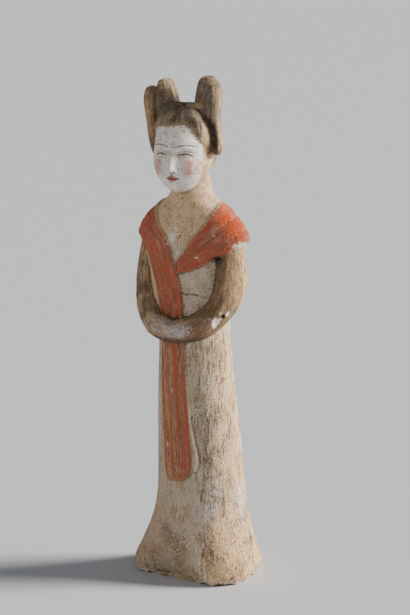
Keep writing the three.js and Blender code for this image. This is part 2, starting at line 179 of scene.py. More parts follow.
# Turn, and the hairline's height as a share of the head's. It is squarer on her right
HAIRLINE = np.array([
    (-180, 0.2),
    (-130, 0.25),
    (-105, 0.37),
    (-90, 0.5),
    (-78, 0.62),
    (-67, 0.715),
    (-55, 0.752),
    (0, 0.785),
    (28, 0.788),
    (38, 0.765),
    (48, 0.7),
    (57, 0.625),
    (72, 0.55),
    (88, 0.46),
    (105, 0.37),
    (130, 0.25),
    (180, 0.2),
])

# The hair rolls: out, y, down from the roll's top, deep radius, thick radius
RISER = np.array([
    (-3.5, 0.0, 40, 9.5, 8.5),
    (-0.6, 3.0, 25, 9.8, 9.4),
    (0.0, 4.5, 12, 9.4, 8.7),
    (0.0, 5.0, 4.5, 7.6, 7.2),
    (0.3, 5.0, 0.8, 4.6, 4.4),
    (0.3, 5.0, 0, 2.2, 2.0),
])
FALL = np.array([
    (-1.6, 4.5, 5.5, 3.0, 2.4),
    (-0.6, 4.2, 8.5, 7.0, 5.0),
    (0.0, 3.6, 16, 8.0, 5.5),
    (-0.4, 2.6, 28, 7.2, 4.6),
    (0.3, 2.0, 42, 6.6, 4.3),
    (0.5, 1.6, 53, 5.8, 4.0),
    (0.0, 1.4, 57, 2.4, 1.8),
])
# Strand, side, drop, top and foot of its curve, and how sharply that curve bends
STRANDS = [
    (RISER, 1, 0, 17.9, 17.8, 1),
    (FALL, 1, 0, 23.3, 26.6, 3),
    (RISER, -1, 3.6, 16.8, 10.5, 1),
    (FALL, -1, 3.6, 26.6, 17.8, 3),
]

FINE = 0.5  # the fused mesh's cell
MOST_TRIANGLES = 194000
PANEL_COLUMNS = 70  # vertices across a panel of the scarf
FLAT_BELOW = 0.3  # lower vertices are set on the ground

# How the paint is placed, in millimetres
FAR = 12  # distances to the edge of the scarf or hair count up to this
OFF_BODY = 9  # the scarf's vertices all stand nearer to the body's skin
SAMPLE_GAP = 0.8  # a place on a panel of the scarf is nearer than this to one of its samples
SCARF_WIDTH = 30
SHAWL_LENGTH = 150
SASH_LENGTH = 330
SLEEVES_ROUND = 70
SLEEVES_LENGTH = 250
ROLL_ROUND = 44
ROLL_LENGTH = 50
HEAD_DEGREE = 0.36  # the way round the head for each degree
BUMP_DEPTH = 0.18
# Hollows are darkened brown as dirt with painted shade
HOLLOW_GAIN = 7  # how much more a hollow's depth counts than the noise that breaks its edge up


# Curves and small formulas


def rise(value, start, end):
    t = np.clip((np.asarray(value, float) - start) / (end - start), 0, 1)
    return t * t * (3 - 2 * t)


def fall(value, start, end):
    return 1 - rise(value, start, end)


def bell(distance, width):
    return np.exp(-((np.asarray(distance, float) / width) ** 2))


def hermite(t, start, end, slope_in, slope_out):
    t = t[..., None]
    rest = 1 - t
    return (
        start * (1 + 2 * t) * rest**2
        + end * t * t * (3 - 2 * t)
        + slope_in * t * rest**2
        - slope_out * t * t * rest
    )


def along(table, place):
    """The table's other columns at a place in its first column, on smooth curves."""
    at, values = table[:, 0], table[:, 1:]
    last = len(at) - 1
    place = np.clip(np.asarray(place, float), at[0], at[last])
    i = np.clip(np.searchsorted(at, place, side="right") - 1, 0, last - 1)
    before = np.maximum(np.arange(last + 1) - 1, 0)
    after = np.minimum(np.arange(last + 1) + 1, last)
    slope = (values[after] - values[before]) / (at[after] - at[before])[:, None]
    step = (at[i + 1] - at[i])[..., None]
    t = (place - at[i]) / step[..., 0]
    return hermite(t, values[i], values[i + 1], slope[i] * step, slope[i + 1] * step)


def spline(points, t):
    """A smooth curve through evenly spaced points, for t from 0 to 1."""
    last = len(points) - 1
    place = np.clip(np.asarray(t, float), 0, 1) * last
    i = np.clip(place.astype(int), 0, last - 1)
    before, after = points[np.maximum(i - 1, 0)], points[np.minimum(i + 2, last)]
    start, end = points[i], points[i + 1]
    return hermite(place - i, start, end, (end - before) / 2, (after - start) / 2)


def path(points, t):
    """A centripetal curve through points in space, for t from 0 to 1."""
    ends = np.vstack([2 * points[0] - points[1], points, 2 * points[-1] - points[-2]])
    last = len(points) - 1
    place = np.clip(np.asarray(t, float), 0, 1) * last
    i = np.clip(place.astype(int), 0, last - 1)
    before, start, end, after = (ends[i + k] for k in range(4))
    gap = [np.linalg.norm(b - a, axis=-1)[..., None] ** 0.5
           for a, b in ((before, start), (start, end), (end, after))]
    slope_in = (start - before) / gap[0] - (end - before) / (gap[0] + gap[1]) + (end - start) / gap[1]
    slope_out = (end - start) / gap[1] - (after - start) / (gap[1] + gap[2]) + (after - end) / gap[2]
    return hermite(place - i, start, end, slope_in * gap[1], slope_out * gap[1])


LATTICE = 64
lattice = np.random.default_rng(7).uniform(-1, 1, (LATTICE,) * 3)


def noise(points, size, shift=0.0):
    """Smooth noise from -1 to 1 with features of about a given size, or of one size an axis."""
    p = np.asarray(points, float) / size + shift
    cell = np.floor(p).astype(int)
    t = p - cell
    t = t * t * (3 - 2 * t)
    total = np.zeros(len(p))
    for corner in np.ndindex(2, 2, 2):
        spot = (cell + corner) % LATTICE
        weight = np.prod(np.where(corner, t, 1 - t), axis=1)
        total += weight * lattice[spot[:, 0], spot[:, 1], spot[:, 2]]
    return total


def rough(points, size, shift=0.0):
    """Three octaves of noise."""
    size = np.asarray(size, float)
    return sum(noise(points, size / 2**k, shift + 5.3 * k) / 2**k for k in range(3)) / 1.3


# The body


def height_at(level):
    level = np.asarray(level, float)
    return WAIST_Z + level * np.where(level > 0, TORSO_HEIGHT, SKIRT_HEIGHT)


def level_at(z):
    z = np.asarray(z, float)
    return (z - WAIST_Z) / np.where(z > WAIST_Z, TORSO_HEIGHT, SKIRT_HEIGHT)


def section(turn, z):
    """The body's half width, half depth, middle x and y, and plan power at a turn and height."""
    wide, front, back, x, y = np.moveaxis(along(BODY, level_at(z)), -1, 0)
    off_front = np.arctan2(np.sin(turn), np.cos(turn))
    in_hollow = bell(off_front - HEM_HOLLOW_TURN, HEM_HOLLOW_WIDTH)
    hollow = HEM_HOLLOW * in_hollow * fall(z, 0, HEM_HOLLOW_HEIGHT)
    in_loss = bell(off_front - HEM_LOSS_TURN, HEM_LOSS_WIDTH)
    kept = 1 - HEM_LOSS * in_loss * fall(z, 0, HEM_LOSS_HEIGHT)
    deep = np.where(np.cos(turn) > 0, front - hollow, back)
    power = 1 - HEM_SQUARENESS * fall(z, 0, HEM_SQUARE_HEIGHT)
    return wide * kept, deep * kept, x, y, power


def skin(turn, z):
    """A point on the body's skin."""
    wide, deep, x, y, power = section(turn, z)
    across = np.sign(np.sin(turn)) * np.abs(np.sin(turn)) ** power
    ahead = np.sign(np.cos(turn)) * np.abs(np.cos(turn)) ** power
    return np.stack([x + wide * across, y - deep * ahead, z + 0 * turn], -1)


def lifted(turn, z, height):
    """The same point lifted off the skin, square to it."""
    step = 0.5
    around = skin(turn + step / 30, z) - skin(turn - step / 30, z)
    up = skin(turn, z + step) - skin(turn, np.maximum(z - step, 0))
    out = np.cross(around, up)
    out /= np.linalg.norm(out, axis=-1, keepdims=True)
    return skin(turn, z) + out * np.asarray(height)[..., None]


def body_place(points):
    """The turn in degrees and the distance outside the skin of each point."""
    z = points[:, 2]
    turn = np.arctan2(points[:, 0], -points[:, 1])
    for _ in range(4):
        wide, deep, x, y, power = section(turn, z)
        a, b = (points[:, 0] - x) / wide, (y - points[:, 1]) / deep
        a_root, b_root = np.abs(a) ** (1 / power), np.abs(b) ** (1 / power)
        turn = np.arctan2(np.sign(a) * a_root, np.sign(b) * b_root)
    share = np.maximum(a_root**2 + b_root**2, 1e-9) ** (power / 2)
    out = np.hypot(points[:, 0] - x, points[:, 1] - y) * (1 - 1 / share)
    return np.degrees(turn), out


# Closed forms as stacks of rings


def body_rings():
    z = np.concatenate([np.linspace(0, 60, 60), np.linspace(61, NECK_Z + 12, 200)])
    turn = np.linspace(-np.pi, np.pi, 240, endpoint=False)
    return skin(turn[None, :], z[:, None])


def tube_rings(points, deep, thick, steps, sides):
    """A tube round a path, with its own two radii at each point."""
    t = np.linspace(0, 1, steps)
    middle = path(points, t)
    tangent = path(points, np.minimum(t + 1e-4, 1)) - path(points, np.maximum(t - 1e-4, 0))
    tangent /= np.linalg.norm(tangent, axis=1)[:, None]
    upright = np.array([0, 1, 0]) - tangent * tangent[:, 1:2]
    upright /= np.linalg.norm(upright, axis=1)[:, None]
    side = np.cross(tangent, upright)
    at = np.linspace(0, 1, len(points))
    radii = along(np.column_stack([at, deep, thick]), t)
    angle = np.linspace(0, 2 * np.pi, sides, endpoint=False)
    return (
        middle[:, None]
        + upright[:, None] * (radii[:, 0, None] * np.cos(angle))[..., None]
        + side[:, None] * (radii[:, 1, None] * np.sin(angle))[..., None]
    )


def sleeve_rings():
    arms = [
        np.column_stack([SLEEVES_X + sign * rows[:, 0], rows[:, 1], height_at(rows[:, 2])])
        for sign, rows in ((1, LEFT_SLEEVE), (-1, RIGHT_SLEEVE))
    ]
    points = np.vstack([arms[0], arms[1][-2::-1]])
    radii = np.vstack([LEFT_SLEEVE[:, 3:], RIGHT_SLEEVE[-2::-1, 3:]])
    return tube_rings(points, radii[:, 0], radii[:, 1], 300, 80)


def panel_place(rows, s, t):
    """The turn in degrees and the height at a place across and along a panel."""
    inner, outer = spline(rows[:, :2], t), spline(rows[:, 2:], t)
    spot = inner + (outer - inner) * np.asarray(s)[..., None]
    return spot[..., 0], height_at(spot[..., 1])


def panel_rings(rows, thickness, folds, steps, lap=None):
    """A slab of cloth on the body. Its folds are rounded ridges with narrow grooves between."""
    t, s = np.meshgrid(np.linspace(0, 1, steps), np.linspace(0, 1, PANEL_COLUMNS), indexing="ij")
    turn, z = panel_place(rows, s, t)
    full = 1 if lap is None else np.clip(np.abs(turn - lap) / LAP_FADE, 0, 1)
    wave = folds(s, t) * full if folds else 0
    top = thickness * (LAP_THINNESS + (1 - LAP_THINNESS) * full) + wave
    edge = 0.35 * fall(np.minimum(s, 1 - s), 0, 0.05)
    face = lifted(np.radians(turn), z, top - edge)
    bed = lifted(np.radians(turn), z, np.full_like(s, -SCARF_BED))
    return np.concatenate([face, bed[:, ::-1]], axis=1)


# The sash's grooves: how far across at its middle and at its end, and the half width there
SASH_GROOVES = [
    (0.98, 0.97, 0.04, 0.03),
    (0.76, 0.75, 0.075, 0.085),
    (0.5, 0.49, 0.07, 0.075),
    (0.17, 0.2, 0.065, 0.045),
]


def sash_groove(s, t):
    """1 in the sash's lengthwise grooves and 0 on its ridges."""
    down = rise(t, 0.55, 1)
    total = 0 * s
    for start, end, wide_start, wide_end in SASH_GROOVES:
        middle = start + (end - start) * down + 0.01 * np.sin(23 * t + 9 * start)
        total = total + bell(s - middle, wide_start + (wide_end - wide_start) * down)
    return total


def shawl_groove(s, t):
    wander = s + 0.03 * np.sin(5 * t + 4 * s)
    return (0.5 + 0.5 * np.cos(2 * np.pi * 3 * wander)) ** 3


def sash_folds(s, t):
    deep = 0.4 + 0.7 * rise(t, 0.5, 0.68)
    return deep * (0.25 - sash_groove(s, t))


def shawl_folds(s, t):
    return 0.55 * (0.3 - shawl_groove(s, t)) * rise(t, 0.02, 0.2)


# The face's forms, as shares of the head's height: how far out, the middle and half width across,
# the middle and half height up from the chin. The second set is too fine for the rings
FACE_FORMS = {
    "nose wings": (0.022, 0.048, 0.026, 0.284, 0.026),
    "eye sockets": (-0.03, 0.135, 0.085, 0.468, 0.052),
    "eyeballs": (0.02, 0.14, 0.062, 0.458, 0.03),
    "brow ridges": (0.012, 0.14, 0.11, 0.545, 0.04),
    "mouth": (0.022, 0, 0.095, 0.19, 0.062),
    "upper lip": (0.016, 0, 0.06, 0.206, 0.016),
    "lower lip": (0.016, 0, 0.06, 0.166, 0.018),
    "between the lips": (-0.016, 0, 0.07, 0.187, 0.01),
    "chin": (0.026, 0, 0.085, 0.075, 0.05),
    "cheeks": (0.022, 0.2, 0.11, 0.27, 0.11),
}
FACE_DETAILS = {
    "nose tip": (0.008, 0, 0.03, 0.292, 0.028),
    "nostrils": (-0.012, 0.027, 0.012, 0.262, 0.01),
    "folds beside the nose": (-0.008, 0.075, 0.01, 0.29, 0.03),
    "groove under the nose": (-0.006, 0, 0.012, 0.234, 0.018),
    "upper lip's bow": (0.005, 0.02, 0.016, 0.212, 0.009),
    "lower lip": (0.006, 0, 0.045, 0.168, 0.013),
    "mouth's corners": (-0.007, 0.08, 0.014, 0.189, 0.014),
    "hollow over the chin": (-0.008, 0, 0.05, 0.133, 0.016),
}


def face_sum(forms, side, up):
    return sum(out * bell(side - x, wide) * bell(up - z, tall) for out, x, wide, z, tall in forms.values())


def face_relief(side, up):
    """How far the face stands out, at a place beside its middle and up from the chin."""
    nose = 0.058 * bell(side, 0.046) * fall(up, 0.29, 0.52) + 0.02 * bell(side, 0.034) * fall(up, 0.4, 0.56)
    return nose * rise(up, 0.255, 0.282) + face_sum(FACE_FORMS, side, up)


def hairline(turn):
    return along(HAIRLINE, turn)[..., 0]


def head_rings():
    """The head and its cap of hair. Its rings follow the hairline."""
    half = HEAD_HEIGHT / 2
    turn = np.linspace(-np.pi, np.pi, 220, endpoint=False)
    turn = turn - 0.3 * np.sin(turn)
    line = hairline(np.degrees(turn))
    rings = []
    cap = [(True, share) for share in np.linspace(0, 1, 70)]
    rest = [(False, share) for share in np.linspace(0, 1, 110)]
    for upper, share in cap + rest:
        edge = np.arccos(2 * (line + (HAIR_EDGE if upper else -HAIR_EDGE)) - 1) / np.pi
        down = np.pi * (edge * max(share, 1e-3) if upper else edge + (0.999 - edge) * share)
        level, height = np.sin(down), np.cos(down)
        x = HEAD_HALF_WIDTH * level * np.sin(turn) * (1 + 0.1 * bell(height + 0.45, 0.4))
        y = -HEAD_HALF_DEPTH * level * np.cos(turn) - CHIN_FORWARD * np.maximum(-height, 0) ** 2
        z = half * height
        up, side = (z + half) / HEAD_HEIGHT, np.abs(x) / HEAD_HEIGHT
        facing = rise(-y / HEAD_HALF_DEPTH, 0.1, 0.5)
        p = np.stack([x, y, z], -1)
        if upper:
            above = up - line
            lobe = 1 + HAIR_LOBES * bell(side - 0.19, 0.12) * rise(above, 0, 0.18)
            parted = 1 - 0.7 * bell(side, 0.04) * facing * rise(above, 0, 0.1)
            thinned = 0.4 + 0.6 * rise(above, 0, 0.07)
            out = p / np.linalg.norm(p, axis=-1, keepdims=True)
            p = p + out * (HAIR_THICKNESS * lobe * parted * thinned)[:, None]
        else:
            p[:, 1] -= facing * face_relief(side, up) * HEAD_HEIGHT
        rings.append(p)
    return from_head(np.array(rings) + (0, 0, half + CHIN_Z))


def from_head(points):
    """Turns the head's own coordinates into the figure's."""
    c, s = math.cos(HEAD_TURN), math.sin(HEAD_TURN)
    x, y = points[..., 0], points[..., 1]
    return np.stack([HEAD_X + c * x - s * y, HEAD_Y + s * x + c * y, points[..., 2]], -1)


def to_head(points):
    c, s = math.cos(HEAD_TURN), math.sin(HEAD_TURN)
    x, y = points[:, 0] - HEAD_X, points[:, 1] - HEAD_Y
    return np.column_stack([c * x + s * y, c * y - s * x, points[:, 2]])


def strand_rings(strand, side, drop, top, foot, bend):
    out, y, down, deep, thick = strand.T
    reach = down.max()
    x = side * (top + (foot - top) * (down / reach) ** bend + out)
    points = np.column_stack([x, y, ROLL_TOP_Z - drop - down])
    return from_head(tube_rings(points, deep, thick, 120, 64))


class Form:
    """A closed form given as rings of points, with each point's place along and round it."""

    def __init__(self, name, rings):
        rows, sides = self.shape = rings.shape[:2]
        self.name = name
        self.points = rings.reshape(-1, 3)
        grids = np.meshgrid(np.linspace(0, 1, rows), np.arange(sides) / sides, indexing="ij")
        self.row, self.side = (grid.ravel() for grid in grids)
        wrapped = np.concatenate([rings[:, -1:], rings, rings[:, :1]], axis=1)
        self.by_row = (np.gradient(rings, axis=0) * (rows - 1)).reshape(-1, 3)
        self.by_side = (np.gradient(wrapped, axis=1)[:, 1:-1] * sides).reshape(-1, 3)

    def faces(self, first):
        """Quads round the form, with a strip of quads across each end."""
        rows, sides = self.shape
        i, j = np.meshgrid(np.arange(rows - 1) * sides, np.arange(sides), indexing="ij")
        k = (j + 1) % sides
        walls = np.stack([i + j, i + k, i + sides + k, i + sides + j], -1)
        j = np.arange(sides // 2 - 1)
        cap = np.stack([j, sides - 1 - j, sides - 2 - j, j + 1], -1)
        caps = [cap, cap[:, ::-1] + (rows - 1) * sides]
        return np.concatenate([walls.reshape(-1, 4), *caps]) + first


def make_forms():
    forms = [
        Form("body", body_rings()),
        Form("shawl", panel_rings(SHAWL, SCARF_THICKNESS, shawl_folds, 200, SHAWL_LAP)),
        Form("sash", panel_rings(SASH, SCARF_THICKNESS, sash_folds, 420, SASH_LAP)),
        Form("spare", panel_rings(SPARE_END, SPARE_THICKNESS, None, 90)),
        Form("sleeves", sleeve_rings()),
        Form("head", head_rings()),
    ]
    return forms + [Form(f"strand_{i}", strand_rings(*strand)) for i, strand in enumerate(STRANDS)]


# Fusing the forms into one mesh


def linked(name, data):
    """A new object in the scene."""
    made = bpy.data.objects.new(name, data)
    bpy.context.scene.collection.objects.link(made)
    return made


def mesh_object(name, points, faces):
    mesh = bpy.data.meshes.new(name)
    mesh.from_pydata(points.tolist(), [], faces.tolist())
    return linked(name, mesh)


def apply_modifier(thing, kind, **settings):
    """Gives the object the mesh that a modifier makes of it."""
    modifier = thing.modifiers.new(kind, kind)
    for key, value in settings.items():
        setattr(modifier, key, value)
    shape = thing.evaluated_get(bpy.context.evaluated_depsgraph_get())
    mesh = bpy.data.meshes.new_from_object(shape)
    thing.modifiers.clear()
    old = thing.data
    thing.data = mesh
    bpy.data.meshes.remove(old)


def vectors(items, name):
    """One vector of each of a mesh's items, as rows."""
    values = np.empty(len(items) * 3, np.float32)
    items.foreach_get(name, values)
    return values.reshape(-1, 3).astype(float)


def vertices(mesh):
    return vectors(mesh.vertices, "co")


def normals(mesh):
    return vectors(mesh.vertex_normals, "vector")


def set_vertices(mesh, points):
    mesh.vertices.foreach_set("co", points.astype(np.float32).ravel())
    mesh.update()


class Links:
    """Which vertices share an edge, for smoothing values over the mesh."""

    def __init__(self, mesh):
        pairs = np.empty(len(mesh.edges) * 2, np.int32)
        mesh.edges.foreach_get("vertices", pairs)
        self.a, self.b = pairs.reshape(-1, 2).T
        self.count = len(mesh.vertices)
        self.degree = np.maximum(self.total(np.ones(self.count)), 1)

    def total(self, values):
        """The sum of each vertex's neighbours' values."""
        ends = ((self.a, self.b), (self.b, self.a))
        return sum(np.bincount(here, values[there], self.count) for here, there in ends)

    def smooth(self, values, rounds):
        """Each value moved half way to its neighbours' mean, a number of times over."""
        columns = values.reshape(self.count, -1).T.copy()
        for _ in range(rounds):
            for column in columns:
                column += (self.total(column) / self.degree - column) / 2
        return columns.T.reshape(values.shape)


def fuse(forms):
    """One closed mesh round all the forms."""
    first = np.cumsum([0] + [len(form.points) for form in forms])
    points = np.concatenate([form.points for form in forms])
    faces = np.concatenate([form.faces(start) for form, start in zip(forms, first)])
    whole = mesh_object("attendant", points, faces)
    apply_modifier(whole, "REMESH", mode="VOXEL", voxel_size=FINE)
    return whole


# Where each vertex is


def nearest(points, wanted):
    """For each wanted point, which of some points is the nearest and how far off it is."""
    tree = KDTree(len(points))
    for i, p in enumerate(points.tolist()):
        tree.insert(p, i)
    tree.balance()
    which, distance = zip(*(tree.find(p)[1:] for p in wanted.tolist()))
    return np.array(which), np.array(distance)


class Places:
    """For each point: the form it lies on and its place there, and its place on body and head."""

    def __init__(self, points, forms):
        first = np.cumsum([0] + [len(form.points) for form in forms])
        found, _ = nearest(np.concatenate([form.points for form in forms]), points)
        self.points = points
        self.names = [form.name for form in forms]
        self.owner = np.searchsorted(first, found, side="right") - 1
        self.row, self.side = np.zeros(len(points)), np.zeros(len(points))
        for i, form in enumerate(forms):
            here = self.owner == i
            spot = found[here] - first[i]
            off = points[here] - form.points[spot]
            along_and_round = (self.row, form.row, form.by_row), (self.side, form.side, form.by_side)
            for place, grid, slopes in along_and_round:
                slope = slopes[spot]
                step = (off * slope).sum(1) / np.maximum((slope**2).sum(1), 1e-6)
                place[here] = grid[spot] + np.clip(step, -0.01, 0.01)
        self.turn, self.out = body_place(points)
        local = to_head(points)
        self.x = local[:, 0] / HEAD_HEIGHT
        self.y = local[:, 1] / HEAD_HALF_DEPTH
        self.up = (points[:, 2] - CHIN_Z) / HEAD_HEIGHT
        self.head_turn = np.degrees(np.arctan2(local[:, 0] / HEAD_HALF_WIDTH, -self.y))
        self.above_hairline = (self.up - hairline(self.head_turn)) * HEAD_HEIGHT

    def on(self, *names):
        return np.isin(self.owner, [i for i, n in enumerate(self.names) if n in names])

    def on_strand(self):
        return self.owner >= self.names.index("strand_0")

    def across(self):
        """How far across its panel a vertex of the scarf is, from 0 to 1."""
        return np.clip(self.side * 2 * PANEL_COLUMNS / (PANEL_COLUMNS - 1), 0, 1)

    def scarf_distance(self, wanted):
        """How far inside the scarf's outline each wanted point is, when seen square to the body."""
        z = self.points[:, 2]
        wanted = wanted & (self.out < OFF_BODY) & (self.up < 0) & (z > SCARF_FOOT_Z)
        wanted &= ~(self.on("sleeves") & (z < SLEEVE_TOP_Z))
        flat = skin(np.radians(self.turn[wanted]), z[wanted])
        inside = np.zeros(len(flat), bool)
        for rows in (SHAWL, SASH):
            grid, by_s = panel_samples(rows)
            found, _ = nearest(grid, flat)
            off, slope = flat - grid[found], by_s[found]
            step = (off * slope).sum(1) / (slope**2).sum(1)
            across = (found % PANEL_COLUMNS) / (PANEL_COLUMNS - 1) + step
            inside |= (np.linalg.norm(off, axis=1) <= SAMPLE_GAP) & (across >= 0) & (across <= 1)
        t = np.linspace(0, 1, 400)
        edges = [panel_curve(rows, s, t) for rows in (SHAWL, SASH) for s in (0, 1)]
        _, distance = nearest(np.concatenate(edges + [panel_curve(SASH, t, 1)]), flat)
        result = np.full(len(z), -float(FAR))
        result[wanted] = np.where(inside, 1, -1) * np.minimum(distance, FAR)
        return result


def panel_samples(rows):
    """Points all over a panel's place on the skin, and their slope across."""
    t, s = np.meshgrid(np.linspace(0, 1, 500), np.linspace(0, 1, PANEL_COLUMNS), indexing="ij")
    turn, z = panel_place(rows, s, t)
    grid = skin(np.radians(turn), z)
    by_s = np.gradient(grid, axis=1) * (PANEL_COLUMNS - 1)
    return grid.reshape(-1, 3), by_s.reshape(-1, 3)


def panel_curve(rows, s, t, height=0):
    """A curve through places across and along a panel, lifted off the skin."""
    turn, z = panel_place(rows, s + 0 * t, t + 0 * s)
    return lifted(np.radians(turn), z, height + 0 * z)


def on_skin(*places):
    """Points on the skin, from turns in degrees and heights."""
    turn, z = np.array(places, float).T
    return skin(np.radians(turn), z)


def near_line(points, line, width):
    """1 on a line through points in space, falling to 0 over a width."""
    closest = np.full(len(points), 1e9)
    line = np.asarray(line, float)
    box = (points > line.min(0) - 3 * width).all(1) & (points < line.max(0) + 3 * width).all(1)
    here = points[box]
    best = closest[box]
    for a, b in zip(line[:-1], line[1:]):
        t = np.clip((here - a) @ (b - a) / ((b - a) @ (b - a)), 0, 1)
        best = np.minimum(best, np.linalg.norm(here - a - t[:, None] * (b - a), axis=1))
    closest[box] = best
    return bell(closest, width)


def near_spot(points, place, size):
    """1 in the middle of a spot on the skin or in space, falling to 0 over its size."""
    spot = on_skin(place)[0] if len(place) == 2 else place
    return bell(np.linalg.norm((points - spot) / size, axis=1), 1)


# Relief too fine for the solids, as distances out from the fused surface

# Pits in the skirt: turn, height, radius, depth
PITS = [
    (33, 135.5, 0.8, 0.35),
    (34, 131, 0.7, 0.3),
    (39, 124, 1.1, 0.6),
    (18, 126.5, 1.2, 0.4),
    (33, 123, 0.8, 0.35),
    (29, 152, 0.8, 0.3),
    (57, 144.6, 0.9, 0.3),
    (9, 51.4, 1.6, 0.3),
    (38, 49.4, 1.7, 0.35),
    (60, 40.6, 1.4, 0.25),
]
# Cracks and cut lines on the body: places as turn and height, width, depth
CRACKS = [
    ([(97, 36), (98, 33), (96, 29), (96, 26)], 0.45, 0.7),
    ([(-33, 7.5), (-31, 5.5), (-29, 3), (-22, 1.5), (-15, 1)], 0.6, 1.0),
    ([(-21, 8), (-22, 5), (-21, 2)], 0.45, 0.7),
    ([(8, 219.9), (15, 219.0), (22, 219.3), (30, 218.8)], 0.8, 0.9),
    ([(33, 218.2), (41, 217.0), (47, 217.4)], 0.5, 0.4),
]
# Raised lines on the skirt, in the same form
RIDGES = [
    ([(-43, 178), (-45, 150), (-46, 120), (-44, 95)], 0.7, 0.35),
    ([(36, 76), (38, 60), (40, 42)], 0.6, 0.15),
]
# A crease between the head and the left roll, cut into the hair and painted dark as shade, through points in
# space
ROLL_CREASE = [
    (13.5, -14, 348.5), (16.8, -11.2, 342.3), (18.9, -10.6, 334.5), (18.7, -10.6, 329), (16.4, -9, 324),
]
CROWN_PIT = {"place": (-3.4, -14, 358.6), "size": (2.2, 2.6, 2.4)}
HEM_NOTCH = {"place": (-17, -25, 0), "size": (2.6, 3.6, 4.6)}
# Straw marks pressed into the foot's front: the patch's place and size, and the ways they lie
STRAW_PATCH = ((-1, 27), (9, 9, 11))
STRAW_TURNS = (34, 62, -48)
# Chips out of the foot's lower edge: turn, half width, height
HEM_CHIPS = [
    (-62, 5, 1.3),
    (-44, 4, 1.6),
    (-29, 3, 2.0),
    (-7, 5, 1.7),
    (8, 3.5, 1.3),
    (21, 3, 1.8),
    (40, 5, 1.4),
    (58, 3.5, 1.7),
    (74, 4, 1.4),
    (96, 4, 1.8),
]
# Soft hollows: the left armpit, and the chip on the left forearm. Place, size, depth
HOLLOWS = [
    ((23.5, -17.5, 243.5), (4.2, 5.0, 4.0), 3.4),
    ((30.6, -17.6, 204.2), (1.0, 2.4, 1.9), 2.4),
    ((33.2, -14.5, 205.2), (2.4, 2.4, 2.2), 0.7),
    ((27.2, -22.2, 200.6), (2.6, 2.6, 2.8), 0.9),
]

PARTING_X = 0.03  # where the hair's lines meet on the crown, as shares of the head's height
CROWN_UP = 1.03
# Creases in the hair, through points in space: over the left lobe, and down behind each lobe
LOBE_CREASES = [
    [
        (-1.5, -17.5, 358), (6, -14.5, 355.5), (11.5, -14, 352.5), (15.5, -13, 347), (17.5, -12, 340),
        (18, -11.5, 331),
    ],
    [(-7, -17.5, 357.5), (-13, -18, 355), (-21, -19.5, 351), (-27, -19, 343), (-28.5, -18, 334)],
]


def carve(points, out, dent):
    """Moves the points inside an ellipsoid back along their normals to its far side."""
    size = np.array(dent["size"], float)
    p = (points - dent["place"]) / size
    wobble = 1 + 0.12 * noise(points, 1.6, 3.1)
    inside = (p**2).sum(1) < wobble**2
    n = out[inside] / size
    p = p[inside]
    a, b = (n**2).sum(1), -2 * (p * n).sum(1)
    c = (p**2).sum(1) - wobble[inside] ** 2
    t = (-b + np.sqrt(np.maximum(b * b - 4 * a * c, 0))) / (2 * a)
    moved = points.copy()
    moved[inside] -= out[inside] * t[:, None]
    return moved


def skirt_relief(at):
    """Streaks, straw marks, pits, cracks and the crumbled edge of the foot."""
    p, z = at.points, at.points[:, 2]
    low = fall(z, 18, 62)
    marks = 0.1 * rough(p, (1.7, 1.7, 24)) + 0.09 * low * rough(p, (2.2, 2.2, 9), 8)
    holes = -0.3 * rise(noise(p, 1.5, 4.4), 0.62, 0.95) * (0.35 + low)
    straw = 0
    for degrees in STRAW_TURNS:
        c, s = math.cos(math.radians(degrees)), math.sin(math.radians(degrees))
        strands = np.column_stack([(p[:, 0] * c + z * s) / 7, (z * c - p[:, 0] * s) / 1.1, 0 * z])
        straw = straw + rise(noise(strands, 1, degrees), 0.35, 0.8)
    marks = marks + holes - 0.6 * near_spot(p, *STRAW_PATCH) * straw
    total = at.on("body", "spare") * fall(z, WAIST_Z - 6, WAIST_Z + 4) * marks
    for turn, height, radius, deep in PITS:
        total -= deep * near_spot(p, (turn, height), radius)
    for lines, sign in ((CRACKS, -1), (RIDGES, 1)):
        for places, width, deep in lines:
            total += sign * deep * near_line(p, on_skin(*places), width)
    turn = np.radians(at.turn)
    bites = rough(np.column_stack([np.cos(turn) * 40, np.sin(turn) * 40, z / 3]), 4.2, 1.7)
    crumbs = rough(p, (2.2, 2.2, 1.6), 5.1)
    loss = 0.3 + 2.1 * rise(bites, 0, 0.5) + 0.8 * rise(crumbs, 0.1, 0.5)
    return total - fall(z, 0.5, 5.5) * loss * at.on("body")


def sleeve_relief(at):
    """Soft folds that fan out from the elbows and run on round the joined forearms."""
    p, t = at.points, at.row
    bent = bell(t - 0.29, 0.09) + bell(t - 0.71, 0.09)
    angle = 2 * np.pi * at.side
    fan = np.sin(3 * angle + 34 * np.abs(t - 0.5) + 1.2 * noise(p, 11))
    joined = bell(t - 0.5, 0.16)
    swirl = np.sin(2 * angle + 46 * (t - 0.5) ** 2 * 6 + 1.5 * noise(p, 8, 2))
    cuff = -0.45 * bell(t - 0.503 - 0.012 * np.sin(angle), 0.004)
    return at.on("sleeves") * (0.32 * bent * fan + 0.3 * joined * swirl + cuff + 0.12 * rough(p, 3.2, 6))


